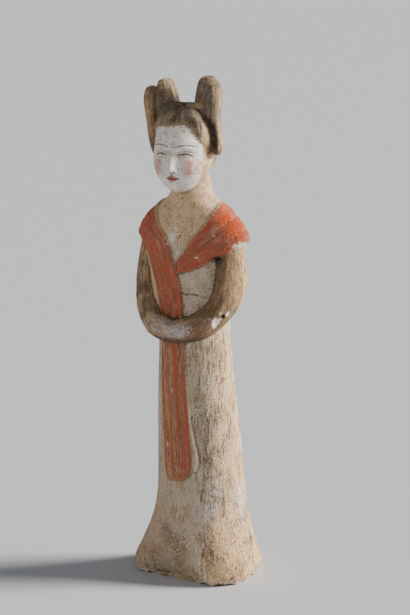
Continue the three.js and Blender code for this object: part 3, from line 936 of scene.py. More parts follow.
def hair_relief(at):
    """Combed lines: up the head, and along the rolls with a slow twist."""
    p = at.points
    cap = at.on("head") * rise(at.above_hairline, 0, 1.5)
    around = np.arctan2(at.x - PARTING_X, CROWN_UP - at.up)
    swept = np.where(at.y < 0, around * 7, at.head_turn / 8)
    away = np.hypot(at.x - PARTING_X, CROWN_UP - at.up)
    combed = noise(np.column_stack([swept, away * 6, 0 * swept]), 1)
    round_roll = at.side * 2 * np.pi
    locks = [np.cos(round_roll) * 3.4, np.sin(round_roll) * 3.4, at.row * 2.2 + at.owner * 7]
    fine = np.sin((at.side * 26 + 3 * at.row) * 2 * np.pi / 2.2 + 2 * noise(p, 7))
    lines = 0.2 * combed * cap * rise(away, 0, 0.15)
    lines = lines + at.on_strand() * (0.5 * noise(np.column_stack(locks), 1) + 0.04 * fine)
    for crease in LOBE_CREASES:
        lines = lines - 1.1 * near_line(p, crease, 1.1) * (cap > 0)
    return lines - 1.4 * near_line(p, ROLL_CREASE, 1.6)


def face_detail(at):
    """The eyelids, nostrils, lips and the folds beside them, on the face's own scale."""
    up, side = at.up, np.abs(at.x)
    from_lid = up - 0.462 - 0.024 * (1 - ((side - 0.142) / 0.085) ** 2)
    slit = -0.009 * bell(from_lid + 0.012, 0.008) + 0.005 * bell(from_lid - 0.004, 0.008)
    fold = -0.006 * bell(from_lid - 0.022, 0.007)
    under = -0.004 * bell(up - 0.436 - 0.3 * (side - 0.14) ** 2, 0.008)
    eye = (slit + fold + under) * rise(side, 0.055, 0.08) * fall(side, 0.215, 0.24)
    parting = -0.008 * bell(up - 0.187 - 0.4 * side**2, 0.005) * bell(side, 0.07)
    front = at.on("head") * rise(-at.y, 0.35, 0.6) * fall(at.above_hairline, -2, 0)
    return front * (eye + parting + face_sum(FACE_DETAILS, side, up)) * HEAD_HEIGHT


def add_relief(whole, forms):
    mesh = whole.data
    links = Links(mesh)
    points = links.smooth(vertices(mesh), 3)
    set_vertices(mesh, points)
    at = Places(points, forms)
    out = normals(mesh)
    arms, scarf = at.on("sleeves"), at.on("shawl", "sash")
    total = skirt_relief(at) + sleeve_relief(at) + hair_relief(at) + face_detail(at)
    total += (1 - at.on("head") * 0.7) * (0.11 * rough(points, 10, 2) + 0.05 * rough(points, 2.6, 9))
    worn = rise(noise(points, 2.2, 15), 0.6, 0.9)
    total += scarf * (0.12 * rough(points, (2.5, 2.5, 6), 12) - 0.25 * worn)
    for place, size, deep in HOLLOWS:
        total -= deep * near_spot(points, place, size)
    total += arms * 1.1 * rise(at.scarf_distance(arms), -0.4, 0.6)
    points = points + out * total[:, None]
    chips = [{"place": on_skin((turn, 0))[0], "size": (wide, wide, high)} for turn, wide, high in HEM_CHIPS]
    for dent in (CROWN_PIT, HEM_NOTCH, *chips):
        points = carve(points, out, dent)
    points[points[:, 2] < FLAT_BELOW, 2] = 0
    set_vertices(mesh, points)
    return links


# Values that the material reads at each vertex

# Marks on the surface: a middle, on the skin or in space, then half sizes and a strength
MARKS = {
    "straw": [
        (*STRAW_PATCH, 1.2),
    ],
    # grey: greyer patches on the skirt right of the spare end, painted shade
    "grey": [
        ((32, 126), (10, 8, 14), 0.9), ((34, 100), (8, 8, 13), 0.8), ((26, 150), (8, 8, 14), 0.5),
        ((26, 74), (7, 8, 16), 0.3),
    ],
    "cool": [
        ((36, 62), (8, 8, 20), 1), ((34, 92), (8, 8, 14), 0.5), ((62, 80), (6, 8, 20), 0.4),
    ],
    "brown": [
        ((-19, 38.7), (7, 8, 6), 0.9), ((-7, 31.5), (9, 8, 8), 1), ((-23, 21), (10, 8, 8), 0.8),
        ((3, 23), (8, 8, 9), 0.8), ((-1, 12), (9, 8, 7), 0.6), ((9, 51.4), (2.6, 3, 2), 0.9),
        ((38, 49.4), (2.4, 3, 2.4), 1), ((34, 42), (1.6, 3, 9), 0.7),
        ((34, 28.5), (1.6, 3, 9), 0.7), ((16, 61.5), (3, 3, 3), 0.4),
        ((60, 40.6), (2.2, 3, 7), 0.5), ((48, 33), (1.3, 3, 7), 0.5), ((71, 155), (2.2, 3, 7), 0.7),
        ((39, 100), (4, 3, 5), 0.35), ((58, 166), (4, 5, 6), 0.4), ((56, 122), (4, 5, 9), 0.5),
        ((72, 104), (4, 5, 9), 0.5), ((19, -28, 197), (6, 5, 4.5), 0.9),
        ((11, -32, 191), (9, 4, 2.4), 0.8), ((35.5, -9, 249), (5, 6, 6), 0.7),
        ((23.5, -14.5, 232), (4.5, 6, 9), 0.8), ((23.5, -17.5, 219), (4.5, 6, 8), 0.8),
        ((19.5, -24, 208), (6, 6, 5), 0.7), ((-40, -17, 246), (5, 6, 9), 0.5),
        ((-33, -21, 222), (7, 5, 7), 0.5), ((-12, -34, 193), (9, 4, 3), 0.5),
        ((13, -19, 216), (7, 4, 6), 0.35), ((27, -14, 258), (3, 3, 3), 0.4),
    ],
    # dark: painted shade and shadow in the left armpit, under the chin and under the joined forearms, in the
    # crown pit, and darker pits and cracks
    "dark": [
        ((39, 124), (1.3, 2, 1.4), 0.7), ((18, 126.5), (1.6, 2, 1), 0.5),
        ((-31, 5), (1, 3, 1.8), 0.6), ((-21, 4), (0.9, 3, 2.2), 0.7), ((97, 31), (1.2, 3, 6), 0.8),
        ((23.5, -12.5, 245.5), (4.8, 5, 4), 1.5), ((-4.2, -14, 358), (2.6, 2.8, 2.4), 1.3),
        ((-40.5, -18, 238), (1.6, 2, 4), 0.5), ((-7, -20, 290), (9, 6, 4), 0.5),
        ((6, -34, 185), (20, 9, 4), 0.4),
    ],
    "pale": [
        ((16, 181), (1.5, 3, 8), 0.8), ((-11, 146), (1.3, 3, 2.2), 1),
        ((-45, 130), (1.3, 3, 45), 0.7), ((85, 60), (6, 8, 24), 0.6), ((45, 70), (6, 5, 20), 0.5),
        ((60, 120), (7, 6, 22), 0.4), ((-32, 1.5), (9, 4, 1.6), 0.7), ((-14, 1), (9, 4, 2.2), 1.4),
        ((-40, 1), (12, 6, 2), 1.2), ((95, 13), (4, 5, 4), 0.6),
        ((30.5, -19.5, 207.5), (3.2, 2.5, 1.4), 0.7), ((-13, -20, 260), (4.2, 3, 6.5), 0.9),
        ((-8, -20, 265), (3, 3, 4), 0.8), ((-7, -21, 249), (3, 3, 5), 0.6),
        ((10, -21, 247), (1.6, 2, 0.9), 1), ((22, -16, 264), (1.4, 2, 0.8), 1.1),
        ((25.5, -16, 261), (1.3, 2, 0.7), 1), ((37, -5, 256.5), (5, 8, 2.2), 1.1),
        ((5.2, -22, 217), (1.2, 2, 12), 0.6),
    ],
    "specks": [
        ((32, 127), (8, 8, 12), 1.3), ((40, 143), (7, 7, 8), 0.7), ((68, 158), (5, 7, 8), 0.9),
        ((50, 100), (9, 9, 12), 0.6), ((20, 165), (5, 5, 9), 0.7),
        ((-7, -20, 262), (11, 6, 16), 0.9), ((12, -20, 226), (10, 6, 12), 0.5),
    ],
    "red": [
        ((71, 163), (1.4, 2, 1.6), 1), ((71, 155), (2, 2, 1.8), 1.6),
        ((64, 152.5), (1.6, 2, 1.2), 1.1),
    ],
    "lilac": [
        ((-2, -37, 194), (12, 6, 6.5), 1), ((-16, -33, 197), (7, 6, 5), 0.8),
        ((8, -35, 194), (6, 5, 4), 0.6), ((-23, -27, 200), (4, 5, 3.5), 0.4),
        ((21, -26.5, 202.5), (5, 4, 2), 0.4),
    ],
    "chip": [
        ((27, -22.4, 200.4), (3.5, 3.4, 4.2), 1.6), ((33.4, -14.2, 205.6), (3, 2.6, 2.8), 1.1),
    ],
    # hole: painted shade inside the chip's hole on the left forearm and deep in the left armpit
    "hole": [
        ((30.6, -17.6, 204.4), (1.5, 2.6, 2.3), 1.5), ((23.5, -12.5, 246), (3.4, 5, 2.2), 0.9),
    ],
    # light: paler clay on the hair, and a painted highlight down the lit outer side of the left hanging roll
    "light": [
        ((4, -13, 357.5), (7, 4, 2.6), 1.2), ((-13, -14, 357.5), (6, 5, 2.6), 0.45),
        ((10, -22, 352), (8, 5, 6), 0.3), ((-12, -25, 351), (7, 6, 6), 0.35),
        ((13, -15, 340), (3, 4, 6), 0.9), ((13, -13.5, 332), (3.2, 5, 8), 1.6),
        ((12.5, -9, 320), (4.5, 7, 9), 1.6), ((22, -2, 350), (2.6, 9, 30), 1.1),
        ((17.5, -10, 369), (3, 5, 7), 0.5), ((-22, -11, 373), (6, 6, 5), 0.9),
        ((-15, -7, 366), (1.6, 6, 9), 0.6), ((9, -5, 377), (6, 9, 4), 0.6),
        ((-3, -28, 343), (5, 3, 4), 0.4),
    ],
    "warm": [
        ((-33, -9, 345), (6, 10, 26), 1), ((-22, -20, 338), (5, 6, 7), 0.5),
        ((9, -24, 341), (4, 4, 3.5), 0.5), ((36, -6, 268), (8, 9, 8), 1),
        ((28, -8, 277), (8, 8, 6), 0.9), ((-32, -10, 268), (7, 8, 8), 0.6),
    ],
}


def mark_field(points, kind):
    """How strongly each point is marked, from 0 up."""
    total = sum(strength * near_spot(points, place, size) for place, size, strength in MARKS[kind])
    # Painted shade in the crease between the head and the left roll, a painted shadow line under the shawl's
    # lower edge, and darker cracks
    if kind == "dark":
        total += 2.4 * near_line(points, ROLL_CREASE, 2.8)
        shawl_hem = panel_curve(SHAWL, 1, np.linspace(0.02, 0.3, 20))
        total += 0.9 * near_line(points, shawl_hem, 1.3)
        for places, width, deep in CRACKS:
            total += (0.3 + 0.5 * deep) * near_line(points, on_skin(*places), width + 0.4)
    return total


def add_fields(whole, forms, dense_points, hollows):
    """Stores what the material reads, worked out at the finished mesh's own vertices."""
    mesh = whole.data
    points = vertices(mesh)
    at = Places(points, forms)
    links = Links(mesh)

    def store(name, values):
        kind, field = ("FLOAT", "value") if values.ndim == 1 else ("FLOAT_VECTOR", "vector")
        made = mesh.attributes.new(name, kind, "POINT")
        made.data.foreach_set(field, values.astype(np.float32).ravel())

    z, across, row = points[:, 2], at.across(), at.row
    shawl, arm, head, strand = at.on("shawl"), at.on("sleeves"), at.on("head"), at.on_strand()
    store("scarf", links.smooth(at.scarf_distance(np.full(len(points), True)), 1))
    grooves = np.where(shawl, shawl_groove(across, row), sash_groove(across, row))
    store("groove", grooves * at.on("shawl", "sash"))
    length = np.where(shawl, SHAWL_LENGTH, SASH_LENGTH)
    store("cloth", np.column_stack([across * SCARF_WIDTH, row * length, at.owner * 50]))
    spare_edge = panel_curve(SPARE_END, 0, np.linspace(0, 1, 400), SPARE_THICKNESS)
    _, spare = nearest(spare_edge, points)
    store("spare", bell(spare, 0.9) * (at.out > 0.2) * fall(z, 128, 146))
    # A band on the skirt just beside the spare end's edge, for a painted shadow
    store("beside", bell(spare - 1.5, 1.6) * (at.out < 0.5) * fall(z, 118, 140) * at.on("body"))
    hair = np.where(head, at.above_hairline, -FAR)
    store("hair", np.where(strand, FAR, np.clip(hair, -FAR, FAR)))
    around_head = at.head_turn * HEAD_DEGREE
    store("strand", np.column_stack([
        np.where(arm, at.side * SLEEVES_ROUND, np.where(strand, at.side * ROLL_ROUND, around_head)),
        np.where(arm, row * SLEEVES_LENGTH, np.where(strand, row * ROLL_LENGTH, at.up * HEAD_HEIGHT)),
        at.owner * 30,
    ]))
    sideways = np.where(at.head_turn > 0, at.head_turn + 8, -at.head_turn)
    store("face", links.smooth(head * rise(-at.y, -0.15, 0.2) * fall(sideways, 64, 84), 1))
    store("face_place", np.column_stack([at.x, at.up, at.y]))
    store("sleeve", links.smooth(arm.astype(float), 2))
    store("level", level_at(z))
    for kind in sorted(MARKS):
        store(f"mark_{kind}", mark_field(points, kind))
    found, _ = nearest(dense_points, points)
    for name, values in hollows.items():
        store(name, values[found])


def hollow_fields(whole, links):
    """How far each vertex lies in a hollow, in millimetres, at a fine and a broad scale. The material
    darkens hollows by it, as dirt and painted shade in the fine ones and painted shade in the broad ones.
    """
    points, out = vertices(whole.data), normals(whole.data)
    fine = links.smooth(points, 8)
    broad = links.smooth(fine, 60)
    smoothed = {"hollow": fine, "broad_hollow": broad}
    return {name: ((kept - points) * out).sum(1) for name, kept in smoothed.items()}


def make_attendant():
    forms = make_forms()
    whole = fuse(forms)
    links = add_relief(whole, forms)
    hollows = hollow_fields(whole, links)
    dense_points = vertices(whole.data)
    triangles = 2 * len(whole.data.polygons)
    apply_modifier(whole, "DECIMATE", ratio=min(1, MOST_TRIANGLES / triangles))
    apply_modifier(whole, "TRIANGULATE")
    add_fields(whole, forms, dense_points, hollows)
    whole.data.transform(Matrix.Scale(MM, 4))
    for polygon in whole.data.polygons:
        polygon.use_smooth = True
    return whole


# The material


def linear(red, green, blue):
    """A colour given in sRGB bytes, as the shader wants it."""
    shares = [byte / 255 for byte in (red, green, blue)]
    return (*(c / 12.92 if c <= 0.04045 else ((c + 0.055) / 1.055) ** 2.4 for c in shares), 1)


class Signal:
    """A number in the shader, on which plain arithmetic works."""

    def __init__(self, graph, socket):
        self.graph = graph
        self.socket = socket

    def __add__(self, other):
        return self.graph.math("ADD", self, other)

    def __sub__(self, other):
        return self.graph.math("SUBTRACT", self, other)

    def __rsub__(self, other):
        return self.graph.math("SUBTRACT", other, self)

    def __mul__(self, other):
        return self.graph.math("MULTIPLY", self, other)

    def __abs__(self):
        return self.graph.math("ABSOLUTE", self)

    def capped(self):
        return self.graph.math("MINIMUM", self.graph.math("MAXIMUM", self, 0), 1)

    def rise(self, start, end):
        """0 below start, 1 above end, smooth between them. It falls where start is the higher."""
        return self.graph.ramp(self, start, end)

    def fall(self, start, end):
        return self.rise(end, start)


# How far noise spreads round its middle: one octave of the shader's own, and what Graph gives
OCTAVE_SPREAD = 0.12
NOISE_SPREAD = 0.5


class Graph:
    """Makes a material's shader nodes and links them."""

    def __init__(self, material):
        material.use_nodes = True
        self.tree = material.node_tree
        self.shader = self.tree.nodes["Principled BSDF"]
        self.place = self.scaled(self.node("TexCoord").outputs["Object"], (1 / MM,) * 3)

    def put(self, node, inputs):
        """Sets or links some of a node's inputs, given by their names or numbers."""
        for name, value in inputs.items():
            value = getattr(value, "socket", value)
            if isinstance(value, bpy.types.NodeSocket):
                self.tree.links.new(value, node.inputs[name])
            else:
                node.inputs[name].default_value = value

    def node(self, kind, inputs=(), **settings):
        made = self.tree.nodes.new("ShaderNode" + kind)
        for name, value in settings.items():
            setattr(made, name, value)
        self.put(made, dict(inputs))
        return made

    def math(self, operation, *values):
        return Signal(self, self.node("Math", enumerate(values), operation=operation).outputs[0])

    def ramp(self, value, start, end):
        inputs = {"Value": value, "From Min": start, "From Max": end}
        return Signal(self, self.node("MapRange", inputs, interpolation_type="SMOOTHSTEP").outputs[0])

    def scaled(self, vector, factors, shift=(0, 0, 0)):
        inputs = {0: vector, 1: factors, 2: shift}
        return self.node("VectorMath", inputs, operation="MULTIPLY_ADD").outputs[0]

    def turned(self, vector, degrees):
        """The vector turned about the y axis."""
        inputs = {"Vector": vector, "Angle": math.radians(degrees)}
        return self.node("VectorRotate", inputs, rotation_type="Y_AXIS").outputs[0]

    def vector(self, name):
        return self.node("Attribute", attribute_name=name).outputs["Vector"]

    def number(self, name):
        return Signal(self, self.node("Attribute", attribute_name=name).outputs["Fac"])

    def parts(self, vector):
        return [Signal(self, output) for output in self.node("SeparateXYZ", {0: vector}).outputs]

    def noise(self, size, detail, shift, roughness=0.55, vector=None):
        """Noise, mostly from -1 to 1, with features of about a size in millimetres or one an axis."""
        sizes = (size,) * 3 if isinstance(size, (int, float)) else size
        shifts = (shift * 7.3, shift * 3.1, shift * 5.7)
        where = self.scaled(vector or self.place, tuple(1 / s for s in sizes), shifts)
        inputs = {"Vector": where, "Scale": 1, "Detail": detail, "Roughness": roughness}
        octaves = roughness ** np.arange(detail + 1)
        spread = OCTAVE_SPREAD * np.sqrt((octaves**2).sum()) / octaves.sum()
        made = Signal(self, self.node("TexNoise", inputs).outputs["Fac"])
        return (made - 0.5) * float(NOISE_SPREAD / spread)


class Coat:
    """A colour in the shader, over which others are laid."""

    def __init__(self, graph, colour):
        self.graph = graph
        self.colour = colour

    def lay(self, colour, most, value=None, start=0, end=1):
        """Lays a colour on: all over, or as a value rises from start, or falls from a higher start."""
        amount = most if value is None else value.rise(start, end) * most
        inputs = {"Factor": amount, 6: self.colour, 7: colour}
        self.colour = self.graph.node("Mix", inputs, data_type="RGBA").outputs[2]


CREAM = linear(234, 210, 178)
COOL_CREAM = linear(208, 196, 180)
WARM_CREAM = linear(240, 198, 142)
ROSY_CREAM = linear(200, 168, 140)
MIDDLE_SHADE_CREAM = linear(178, 162, 142)
STONE = linear(156, 142, 122)
CHALK = linear(224, 220, 216)
BREAST_GREY = linear(216, 196, 172)
NECK_TAN = linear(226, 192, 148)
STRIP_TAN = linear(222, 190, 150)
SLEEVE_TAN = linear(190, 162, 130)
SLEEVE_DARK = linear(124, 100, 76)
SLEEVE_SHADE = linear(124, 98, 70)
SLEEVE_WEAR_AND_HIGHLIGHT = linear(212, 164, 114)
CLAY = linear(190, 152, 114)
EARTH = linear(134, 102, 72)
DARK_EARTH = linear(84, 64, 46)
# Near-black brown for painted shade in broad creases, holes and the left armpit, and for darkened cracks and
# pits
DEEP_SHADE = linear(44, 36, 30)
WHITE = linear(248, 242, 234)
LILAC_WHITE = linear(216, 204, 200)
ORANGE = linear(198, 62, 0)
RED = linear(187, 93, 69)
BROWN_RED = linear(138, 96, 74)
PALE_RED = linear(206, 156, 132)
HAIR_BROWN = linear(112, 96, 78)
HAIR_GREY = linear(110, 104, 94)
HAIR_DARK = linear(74, 62, 50)
HAIR_LIGHT = linear(200, 170, 134)
RUST = linear(214, 168, 126)
CHEEK = linear(206, 138, 110)
INK = linear(62, 48, 42)
LIP_RED = linear(168, 68, 54)
FLOOR_GREY = linear(196, 199, 204)


def slip(g):
    """The cream ground of the skirt, streaked downwards and stained, with painted shade greying its middle.
    """
    x, _, z = g.parts(g.place)
    patches = g.noise(30, 1, 1)
    cloud = g.noise((10, 10, 16), 2, 5, 0.5)
    streaks = g.noise((1.7, 1.7, 13), 3, 2, 0.6)
    lines = g.noise((0.6, 0.6, 7), 2, 3)
    scores = g.noise((0.9, 0.9, 20), 2, 4)
    flecks = g.noise((1.5, 1.5, 3.2), 2, 7)
    crumbs = g.noise((0.9, 0.9, 1.3), 2, 6)
    texture = streaks * 0.6 + crumbs * 0.45 + lines * 0.35
    low = z.fall(15, 120)
    aside = x + patches * 8
    middle = aside.rise(-34, -8) * aside.fall(4, 26)
    right = (x + patches * 5).rise(6, 24)
    coat = Coat(g, CREAM)
    coat.lay(COOL_CREAM, 1, patches, -0.5, 0.7)
    coat.lay(WARM_CREAM, 0.9, aside, 12, 34)
    coat.lay(ROSY_CREAM, 0.85, x + patches * 9, 2, -30)
    # Painted shade: the skirt's middle, where the key light falls off, laid greyer
    coat.lay(MIDDLE_SHADE_CREAM, middle * 0.55)
    coat.lay(CHALK, 0.7, g.number("mark_cool") + cloud * 0.2 + texture * 0.2, 0.1, 1)
    coat.lay(CLAY, 0.8, cloud + texture * 0.8 + middle * 0.4 + right * 0.4 + low * 0.1, -0.4, 1.4)
    coat.lay(STONE, 0.7, g.number("mark_grey") + cloud * 0.2 + texture * 0.3, 0, 1)
    brown = cloud * 0.3 + texture + middle * 0.1 + right * 0.3
    coat.lay(EARTH, right * 0.4 + 0.4, brown, 0.2, 1.2)
    coat.lay(EARTH, right * 0.15 + 0.35, flecks + cloud * 0.6 + low * 0.2, 0.3, 1.6)
    dark = crumbs * 0.7 + cloud * 0.2 + streaks * 0.4 + right * 0.1
    coat.lay(DARK_EARTH, right * 0.3 + 0.3, dark, 0.7, 1.5)
    coat.lay(DARK_EARTH, right * 0.4 + 0.2, scores + lines * 0.4, 0.4, 1.2)
    coat.lay(WHITE, right * 0.2 + 0.3, texture * 0.9 - cloud * 0.2, -0.2, -1.2)
    coat.lay(CREAM, 0.3, flecks - cloud * 0.5, -0.3, -1.5)
    straw = g.number("mark_straw") * 0.8
    for degrees in STRAW_TURNS:
        strokes = g.noise((7, 7, 1), 1, degrees, vector=g.turned(g.place, degrees))
        coat.lay(EARTH, straw, strokes, 0.3, 0.8)
        coat.lay(CREAM, straw, strokes, -0.4, -0.9)
    return coat


def torso(g, whole, level):
    """The bodice and neck, greyer and finely speckled."""
    speckle = g.noise(0.8, 2, 11)
    patches = g.noise(8, 2, 12)
    mottle = g.noise(2, 3, 13)
    coat = Coat(g, BREAST_GREY)
    coat.lay(NECK_TAN, 1, level, 0.5, 0.72)
    coat.lay(STRIP_TAN, 1, g.parts(g.place)[0], -20, -26)
    coat.lay(CLAY, 0.6, patches + mottle * 0.4 + speckle * 0.4, -0.6, 1.4)
    coat.lay(EARTH, 0.6, mottle * 0.6 + patches * 0.3 + speckle * 0.6, 0.1, 1.5)
    coat.lay(COOL_CREAM, 0.5, mottle + speckle * 0.6, -0.2, -1.3)
    coat.lay(DARK_EARTH, 0.65, speckle + patches * 0.2, 0.45, 1.2)
    whole.lay(coat.colour, 1, level + patches * 0.03, 0.02, 0.1)


def sleeve(g, whole, level):
    """Bare brown clay with the paint worn off, streaked along the arms, with painted highlight on the side
    of her left arm towards the key light and painted shade elsewhere on it and under the forearms.
    """
    strand = g.vector("strand")
    patches = g.noise(9, 2, 21)
    brush = g.noise((1.5, 14, 1), 4, 24, 0.6, strand)
    mottle = g.noise(1.8, 3, 22, 0.6)
    wear = g.noise((4, 14, 1), 3, 23, 0.6, strand)
    grit = g.noise(0.8, 2, 25)
    x, y, _ = g.parts(g.place)
    # outer: the side of her left arm that faces the key light, laid paler as painted highlight. inner: the
    # rest of that arm, laid darker as painted shade
    outer = (x * 0.87 + y * 0.5 + wear * 2.5 + brush * 1.5).rise(26, 33)
    inner = (x + wear * 2).rise(2, 12)
    under = (level + mottle * 0.006).fall(0.025, 0.09)
    coat = Coat(g, SLEEVE_TAN)
    coat.lay(SLEEVE_DARK, 1, patches * 0.7 + brush * 0.5, -1, 1)
    coat.lay(SLEEVE_WEAR_AND_HIGHLIGHT, 0.6, wear + mottle * 0.4 + grit * 0.3, 0.1, 1.5)
    coat.lay(SLEEVE_SHADE, inner * (brush * 0.3 + 0.8).capped())
    coat.lay(SLEEVE_WEAR_AND_HIGHLIGHT, outer * 0.85)
    coat.lay(CLAY, outer * 0.6, brush + mottle * 0.6 + grit * 0.3, -0.2, 1)
    coat.lay(SLEEVE_DARK, outer * 0.6, brush * 0.8 + mottle * 0.8, 0.3, 1.1)
    coat.lay(EARTH, 0.75, brush * 0.7 + mottle * 0.5 + grit * 0.4 + inner * 0.4, 0.2, 1.4)
    coat.lay(DARK_EARTH, 0.7, brush * 0.7 + mottle * 0.4 + grit * 0.5, 0.3, 1.4)
    # Pale streaks on the side towards the key light: painted highlight
    coat.lay(WHITE, outer * 0.7, brush - grit * 0.5, -0.5, -1.5)
    # Painted shade on the undersides of the joined forearms
    coat.lay(DARK_EARTH, under * 0.9)
    mark = g.number("mark_lilac")
    most = mark.rise(0.02, 0.3) * (0.85 - under * 0.8)
    coat.lay(LILAC_WHITE, most, mark + mottle * 0.6 + grit * 0.5 + brush * 0.5, 0.1, 1.6)
    whole.lay(coat.colour, 1, g.number("sleeve") + mottle * 0.12, 0.35, 0.65)


def face(g, whole):
    """White ground with rosy cheeks, fine brows, eyes and small red lips, all worn."""
    x, up, _ = g.parts(g.vector("face_place"))
    side = abs(x)
    mottle = g.noise(1.2, 3, 31)
    stain = g.noise(5, 2, 32)
    specks = g.noise(0.8, 2, 33)
    worn = (mottle + stain * 0.5).fall(0.2, 1.3)
    dirty = side.rise(0.1, 0.3) * 0.15 + up.rise(0.62, 0.76) * 0.35 + up.fall(0.04, 0.32) * 0.5
    coat = Coat(g, WHITE)
    coat.lay(LILAC_WHITE, 0.4, stain, -0.5, 0.8)
    cheek = side.rise(0.06, 0.2) * side.fall(0.2, 0.34) * up.rise(0.16, 0.3) * up.fall(0.34, 0.5)
    coat.lay(CHEEK, cheek * (mottle * 0.25 + stain * 0.2 + 0.75))
    coat.lay(CLAY, 0.8, mottle * 0.7 + stain * 0.8 + dirty, 0.3, 1.6)
    coat.lay(EARTH, 0.6, specks + dirty * 0.4, 0.75, 1.4)

    bend = (side - 0.155) * (1 / 0.125)
    brow = abs(up - 0.578 + bend * bend * 0.03).fall(0.003, 0.012) * abs(bend).fall(0.8, 1)
    coat.lay(INK, brow * worn * 0.85)

    bend = (side - 0.142) * (1 / 0.085)
    from_lid = up - 0.462 - (1 - bend * bend) * 0.024
    open_eye = abs(bend).fall(0.9, 1.05)
    line = abs(from_lid + 0.006).fall(0.003, 0.01) * open_eye
    iris = abs(side - 0.14).fall(0.014, 0.026) * from_lid.fall(-0.002, 0.004) * from_lid.rise(-0.034, -0.026)
    under = abs(up - 0.437 - bend * bend * 0.006).fall(0.002, 0.007) * open_eye * 0.3
    coat.lay(INK, (line + iris * 0.7 + under).capped() * (worn * 0.5 + 0.5) * 0.9)

    bend = x * (1 / 0.085)
    from_parting = up - 0.187
    upper = (from_parting - (1 - bend * bend) * 0.036).fall(-0.004, 0.004) * from_parting.rise(-0.002, 0.002)
    lower = (from_parting + (1 - bend * bend * 1.4) * 0.036).rise(-0.004, 0.004)
    lips = (upper + lower * from_parting.fall(-0.002, 0.002)) * abs(bend).fall(0.85, 1)
    coat.lay(LIP_RED, lips * (0.95 - mottle.rise(0.2, 1.2) * 0.5))
    edge = g.number("face") + mottle * 0.15 + stain * 0.12
    whole.lay(coat.colour, up.rise(-0.02, 0.06), edge, 0.35, 0.75)


def hair(g, whole):
    """Dull grey-brown clay, softly streaked the way that the hair is combed."""
    streaks = g.noise((1.1, 16, 10), 3, 41, vector=g.vector("strand"))
    patches = g.noise(9, 2, 42)
    mottle = g.noise(2, 3, 43)
    line = g.number("hair")
    coat = Coat(g, HAIR_BROWN)
    coat.lay(HAIR_GREY, 1, patches, -0.8, 0.8)
    coat.lay(HAIR_LIGHT, 0.35, patches * 0.6 + streaks * 0.4 + mottle * 0.2, -0.1, 1.3)
    coat.lay(HAIR_DARK, 0.4, streaks * 0.5 + patches * 0.5, 0.1, -1.3)
    coat.lay(HAIR_LIGHT, 0.3, line + mottle * 2, 5, 0.5)
    coat.lay(RUST, 0.8, g.number("mark_warm") + streaks * 0.1 + mottle * 0.1, 0, 0.7)
    coat.lay(HAIR_LIGHT, 0.85, g.number("mark_light") + streaks * 0.2 + mottle * 0.15, 0.1, 0.9)
    whole.lay(coat.colour, 1, line + mottle * 0.9 + streaks * 0.9, -0.7, 0.9)


def scarf(g, whole, level):
    """Orange-red paint, brushed lengthwise and worn through along the edges and folds."""
    cloth = g.vector("cloth")
    brush = g.noise((0.8, 20, 1), 3, 51, 0.6, cloth)
    broad = g.noise((2.6, 45, 1), 2, 52, vector=cloth)
    strokes = g.noise((0.8, 6, 1), 1, 54, vector=cloth)
    mottle = g.noise(1.8, 3, 53)
    warm = g.number("mark_warm")
    coat = Coat(g, RED)
    coat.lay(ORANGE, 1, warm + broad * 0.2 + brush * 0.15, 0.1, 0.9)
    coat.lay(BROWN_RED, warm.fall(0.2, 0.8) * 0.45 + 0.35, broad + mottle * 0.3, -0.4, 1.1)
    coat.lay(EARTH, 0.75, brush * 0.9 + mottle * 0.3 + warm * 0.1, 0.2, 1.3)
    coat.lay(PALE_RED, warm.fall(0, 0.6) * 0.6, brush - broad * 0.3, -0.4, -1.3)
    coat.lay(HAIR_LIGHT, warm.rise(0.2, 0.8) * 0.6, strokes - broad * 0.5, 0.7, 1.3)
    fill = Coat(g, CLAY)
    fill.lay(EARTH, 1, brush * 0.5 + broad * 0.8, -0.6, 0.6)
    fill.lay(CREAM, 0.7, strokes + broad * 0.3, 0.4, 1.1)
    groove = g.number("groove") * (level.fall(-0.02, 0.2) * 0.75 + 0.3)
    worn = groove + level.fall(-0.02, 0.02) * 0.06 + brush * 0.12 + mottle * 0.08
    coat.lay(fill.colour, 0.88, worn, 0.1, 0.8)
    coat.lay(CREAM, 0.6, strokes + mottle * 0.2, 1.1, 1.6)
    inside = g.number("scarf")
    # A brown band just outside the scarf's edge: painted shade along its step, with dirt
    whole.lay(EARTH, 0.35, inside + mottle * 0.4, -2, -0.5)
    whole.lay(coat.colour, 1, inside + mottle * 0.25, -0.4, 0.4)


